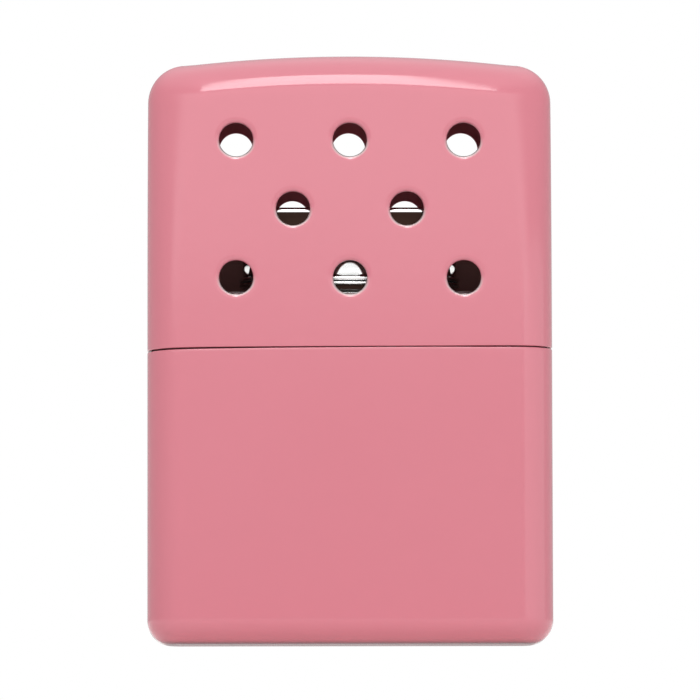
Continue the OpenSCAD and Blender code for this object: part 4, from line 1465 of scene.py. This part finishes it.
# %% Inner sleeve
SLEEVE_X, SLEEVE_Y, SLEEVE_SHEET = 12.9, 3.95, 0.35
SLEEVE_FLANGE, SLEEVE_FLANGE_SHEET, SLEEVE_RIM = 1.0, 0.41, 0.12
SLEEVE_LOW, SLEEVE_HIGH = (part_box("burner_ferrule")[i].z / MM for i in (0, 1))
sleeve_rings = [
    wavy(oblong(SLEEVE_X, SLEEVE_Y, inset, z), CRIMP if z < SLEEVE_LOW + 0.7 else 0)
    for inset, z in sleeve_walk(SLEEVE_LOW + 0.02, SLEEVE_HIGH, SLEEVE_SHEET, SLEEVE_FLANGE,
                                SLEEVE_FLANGE_SHEET, SLEEVE_RIM)
]
sleeve = build("inner_sleeve", [looped(sleeve_rings)])
finish_piece(shade(sleeve), "burner", "burner_ferrule", burner_chrome)

# %% [markdown]
# ## The base plate
# Fuel vapour rises through rows of small punched holes. The same punched-sheet tree makes them, with
# round holes and a thinner lip, and a short walk round the edge closes the plate.

# %% Base plate
PLATE_X, PLATE_Y = 12.9, 3.95
plate_low, plate_high = (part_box("burner_base_plate")[i].z / MM for i in (0, 1))
plate_sheet, plate_edge = plate_high - plate_low, 0.08
flat = punched(
    "punched_base", oblong(PLATE_X, PLATE_Y, plate_edge, 0)[:, :2], columns=9, rows=3,
    column_pitch=2.1 * MM, row_pitch=2.1 * MM, hole_radius=0.7 * MM, outer_lip=0.08 * MM,
    inner_lip=0.05 * MM, sheet=plate_sheet * MM, points_round_a_hole=20, finish=strip_steel,
)
flat.transform(Matrix.Translation((0, 0, plate_high * MM)))
rim_walk = [(plate_edge - x, plate_high - plate_edge + z) for x, z in arc(plate_edge, 90, 0, 3)]
rim_walk += [(plate_edge - x, plate_low + plate_edge + z) for x, z in arc(plate_edge, 0, -90, 3)]
base_plate = build("base_plate", [join_rings([oblong(PLATE_X, PLATE_Y, i, z) for i, z in rim_walk])],
                   (flat,))
finish_piece(shade(base_plate), "burner", "burner_base_plate", strip_steel)

# %% [markdown]
# ## Wire screens
# A woven screen lies under the catalyst and another one over it. In a plain weave every wire goes
# over one and under the next, so its height is a cosine along it, and the wires that cross it have the
# same cosine upside down. That rule is a single field in Geometry Nodes: straight wires are cut to
# the oblong, lifted by the field, and given a flattened round section.

# %% Geometry Nodes: woven screen
def woven_screen_tree():
    """Plain weave of flattened wires, cut to an oblong."""
    tree, given = new_tree("woven_screen", {
        "Start": "Geometry", "Flat half length": "Float", "Round radius": "Float", "Pitch": "Float",
        "Wires along": "Int", "Wires across": "Int", "Steps along": "Int", "Steps across": "Int",
        "Wire width": "Float", "Wire height": "Float", "Wave": "Float", "Finish": "Material",
    })
    ways = []
    reach = add(tree, "ShaderNodeMath", {0: given["Flat half length"], 1: given["Round radius"]},
                operation="ADD")
    round_wire = add(tree, "GeometryNodeCurvePrimitiveCircle", {"Resolution": 8, "Radius": 0.5},
                     mode="RADIUS")
    flatten = add(tree, "ShaderNodeCombineXYZ", {
        "X": given["Wire width"], "Y": given["Wire height"], "Z": 1.0,
    })
    section = add(tree, "GeometryNodeTransform", {"Geometry": round_wire, "Scale": flatten})

    for along_x in (True, False):
        wires = given["Wires along" if along_x else "Wires across"]
        steps = given["Steps along" if along_x else "Steps across"]
        half = reach.outputs[0] if along_x else given["Round radius"]
        # a straight wire through the middle
        whole = add(tree, "ShaderNodeMath", {0: half, 1: 2.0}, operation="MULTIPLY")
        gaps = add(tree, "ShaderNodeMath", {0: steps, 1: 1.0}, operation="SUBTRACT")
        gap = add(tree, "ShaderNodeMath", {0: whole, 1: gaps}, operation="DIVIDE")
        back = add(tree, "ShaderNodeMath", {0: half, 1: -1.0}, operation="MULTIPLY")
        axis, other = ("X", "Y") if along_x else ("Y", "X")
        start = add(tree, "ShaderNodeCombineXYZ", {axis: back})
        stride = add(tree, "ShaderNodeCombineXYZ", {axis: gap})
        wire = add(tree, "GeometryNodeMeshLine", {
            "Count": steps, "Start Location": start, "Offset": stride,
        })
        # copies side by side
        last = add(tree, "ShaderNodeMath", {0: wires, 1: 1.0}, operation="SUBTRACT")
        middle = add(tree, "ShaderNodeMath", {0: last, 1: -0.5}, operation="MULTIPLY")
        first = add(tree, "ShaderNodeMath", {0: middle, 1: given["Pitch"]}, operation="MULTIPLY")
        row_start = add(tree, "ShaderNodeCombineXYZ", {other: first})
        row_step = add(tree, "ShaderNodeCombineXYZ", {other: given["Pitch"]})
        row = add(tree, "GeometryNodeMeshLine", {
            "Count": wires, "Start Location": row_start, "Offset": row_step,
        })
        copies = add(tree, "GeometryNodeInstanceOnPoints", {"Points": row, "Instance": wire})
        real = add(tree, "GeometryNodeRealizeInstances", {"Geometry": copies})
        # cut to the oblong: distance from the middle line against the round radius
        here = add(tree, "GeometryNodeInputPosition")
        parts = add(tree, "ShaderNodeSeparateXYZ", {0: here})
        aside = add(tree, "ShaderNodeMath", {0: parts.outputs["X"]}, operation="ABSOLUTE")
        past = add(tree, "ShaderNodeMath", {0: aside, 1: given["Flat half length"]}, operation="SUBTRACT")
        beyond = add(tree, "ShaderNodeMath", {0: past, 1: 0.0}, operation="MAXIMUM")
        flat_place = add(tree, "ShaderNodeCombineXYZ", {"X": beyond, "Y": parts.outputs["Y"]})
        distance = add(tree, "ShaderNodeVectorMath", {0: flat_place}, operation="LENGTH")
        outside = add(tree, "FunctionNodeCompare", {
            0: distance, 1: given["Round radius"],
        }, data_type="FLOAT", operation="GREATER_THAN")
        cut = add(tree, "GeometryNodeDeleteGeometry", {
            "Geometry": real, "Selection": outside,
        }, domain="POINT")
        # the weave: cosine along times cosine across, with opposite signs for the two ways
        turns = []
        for part in ("X", "Y"):
            share = add(tree, "ShaderNodeMath", {0: parts.outputs[part], 1: given["Pitch"]},
                        operation="DIVIDE")
            angle = add(tree, "ShaderNodeMath", {0: share, 1: math.pi}, operation="MULTIPLY")
            turns.append(add(tree, "ShaderNodeMath", {0: angle}, operation="COSINE"))
        weave = add(tree, "ShaderNodeMath", {0: turns[0], 1: turns[1]}, operation="MULTIPLY")
        signed = add(tree, "ShaderNodeMath", {0: weave, 1: 1.0 if along_x else -1.0}, operation="MULTIPLY")
        lift = add(tree, "ShaderNodeMath", {0: signed, 1: given["Wave"]}, operation="MULTIPLY")
        offset = add(tree, "ShaderNodeCombineXYZ", {"Z": lift})
        woven = add(tree, "GeometryNodeSetPosition", {"Geometry": cut, "Offset": offset})
        strand = add(tree, "GeometryNodeMeshToCurve", {"Mesh": woven})
        upright = add(tree, "GeometryNodeSetCurveNormal", {"Curve": strand}, mode="Z_UP")
        swept = add(tree, "GeometryNodeCurveToMesh", {
            "Curve": upright, "Profile Curve": section, "Fill Caps": True,
        })
        ways.append(swept)
    cloth = add(tree, "GeometryNodeJoinGeometry", {0: ways})
    real = add(tree, "GeometryNodeRealizeInstances", {"Geometry": cloth})
    return end_tree(tree, real, given["Finish"])


WOVEN = woven_screen_tree()

# %% Material: drawn steel wire
# pulled through a die: fine lines, and a thin grey oxide from the heat that dulls it in patches
wire_steel = patchy_metal(
    "drawn_steel_wire", dark="#7d7b78", light="#bdbcb8", patches=900.0, detail=3.0,
    limits=(0.3, 0.7), roughness=(0.5, 0.28), ripples=9000.0, relief=0.2, depth=0.00002,
)

# %% Two screens
SCREEN_PITCH, WIRE_WIDTH, WIRE_HEIGHT = 1.05, 0.24, 0.125


def screen(name, node_name, half_x, half_y):
    """One woven screen in the place of its CAD node."""
    low, high = (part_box(node_name)[i].z / MM for i in (0, 1))
    flat, ends = half_x - half_y, half_y - 0.02
    count_along = 2 * int(ends / SCREEN_PITCH) + 1
    count_across = 2 * int((flat + ends) / SCREEN_PITCH) + 1
    start = bpy.data.meshes.new(name)
    mesh = from_nodes(name, WOVEN, start, named(dict(
        flat_half_length=flat * MM, round_radius=ends * MM, pitch=SCREEN_PITCH * MM,
        wires_along=count_along, wires_across=count_across,
        steps_along=int(half_x * 16) | 1, steps_across=int(half_y * 16) | 1,
        wire_width=WIRE_WIDTH * MM, wire_height=WIRE_HEIGHT * MM,
        wave=WIRE_HEIGHT / 2 * MM, finish=wire_steel,
    )))
    mesh.transform(Matrix.Translation((0, 0, (low + high) / 2 * MM)))
    piece = build(name, [], (mesh,))
    piece.data.shade_smooth()
    return finish_piece(piece, "burner", node_name, wire_steel)


screen("woven_lower_screen", "lower_screen", 12.9, 3.95)
screen("woven_upper_screen", "upper_screen", 12.65, 3.7)
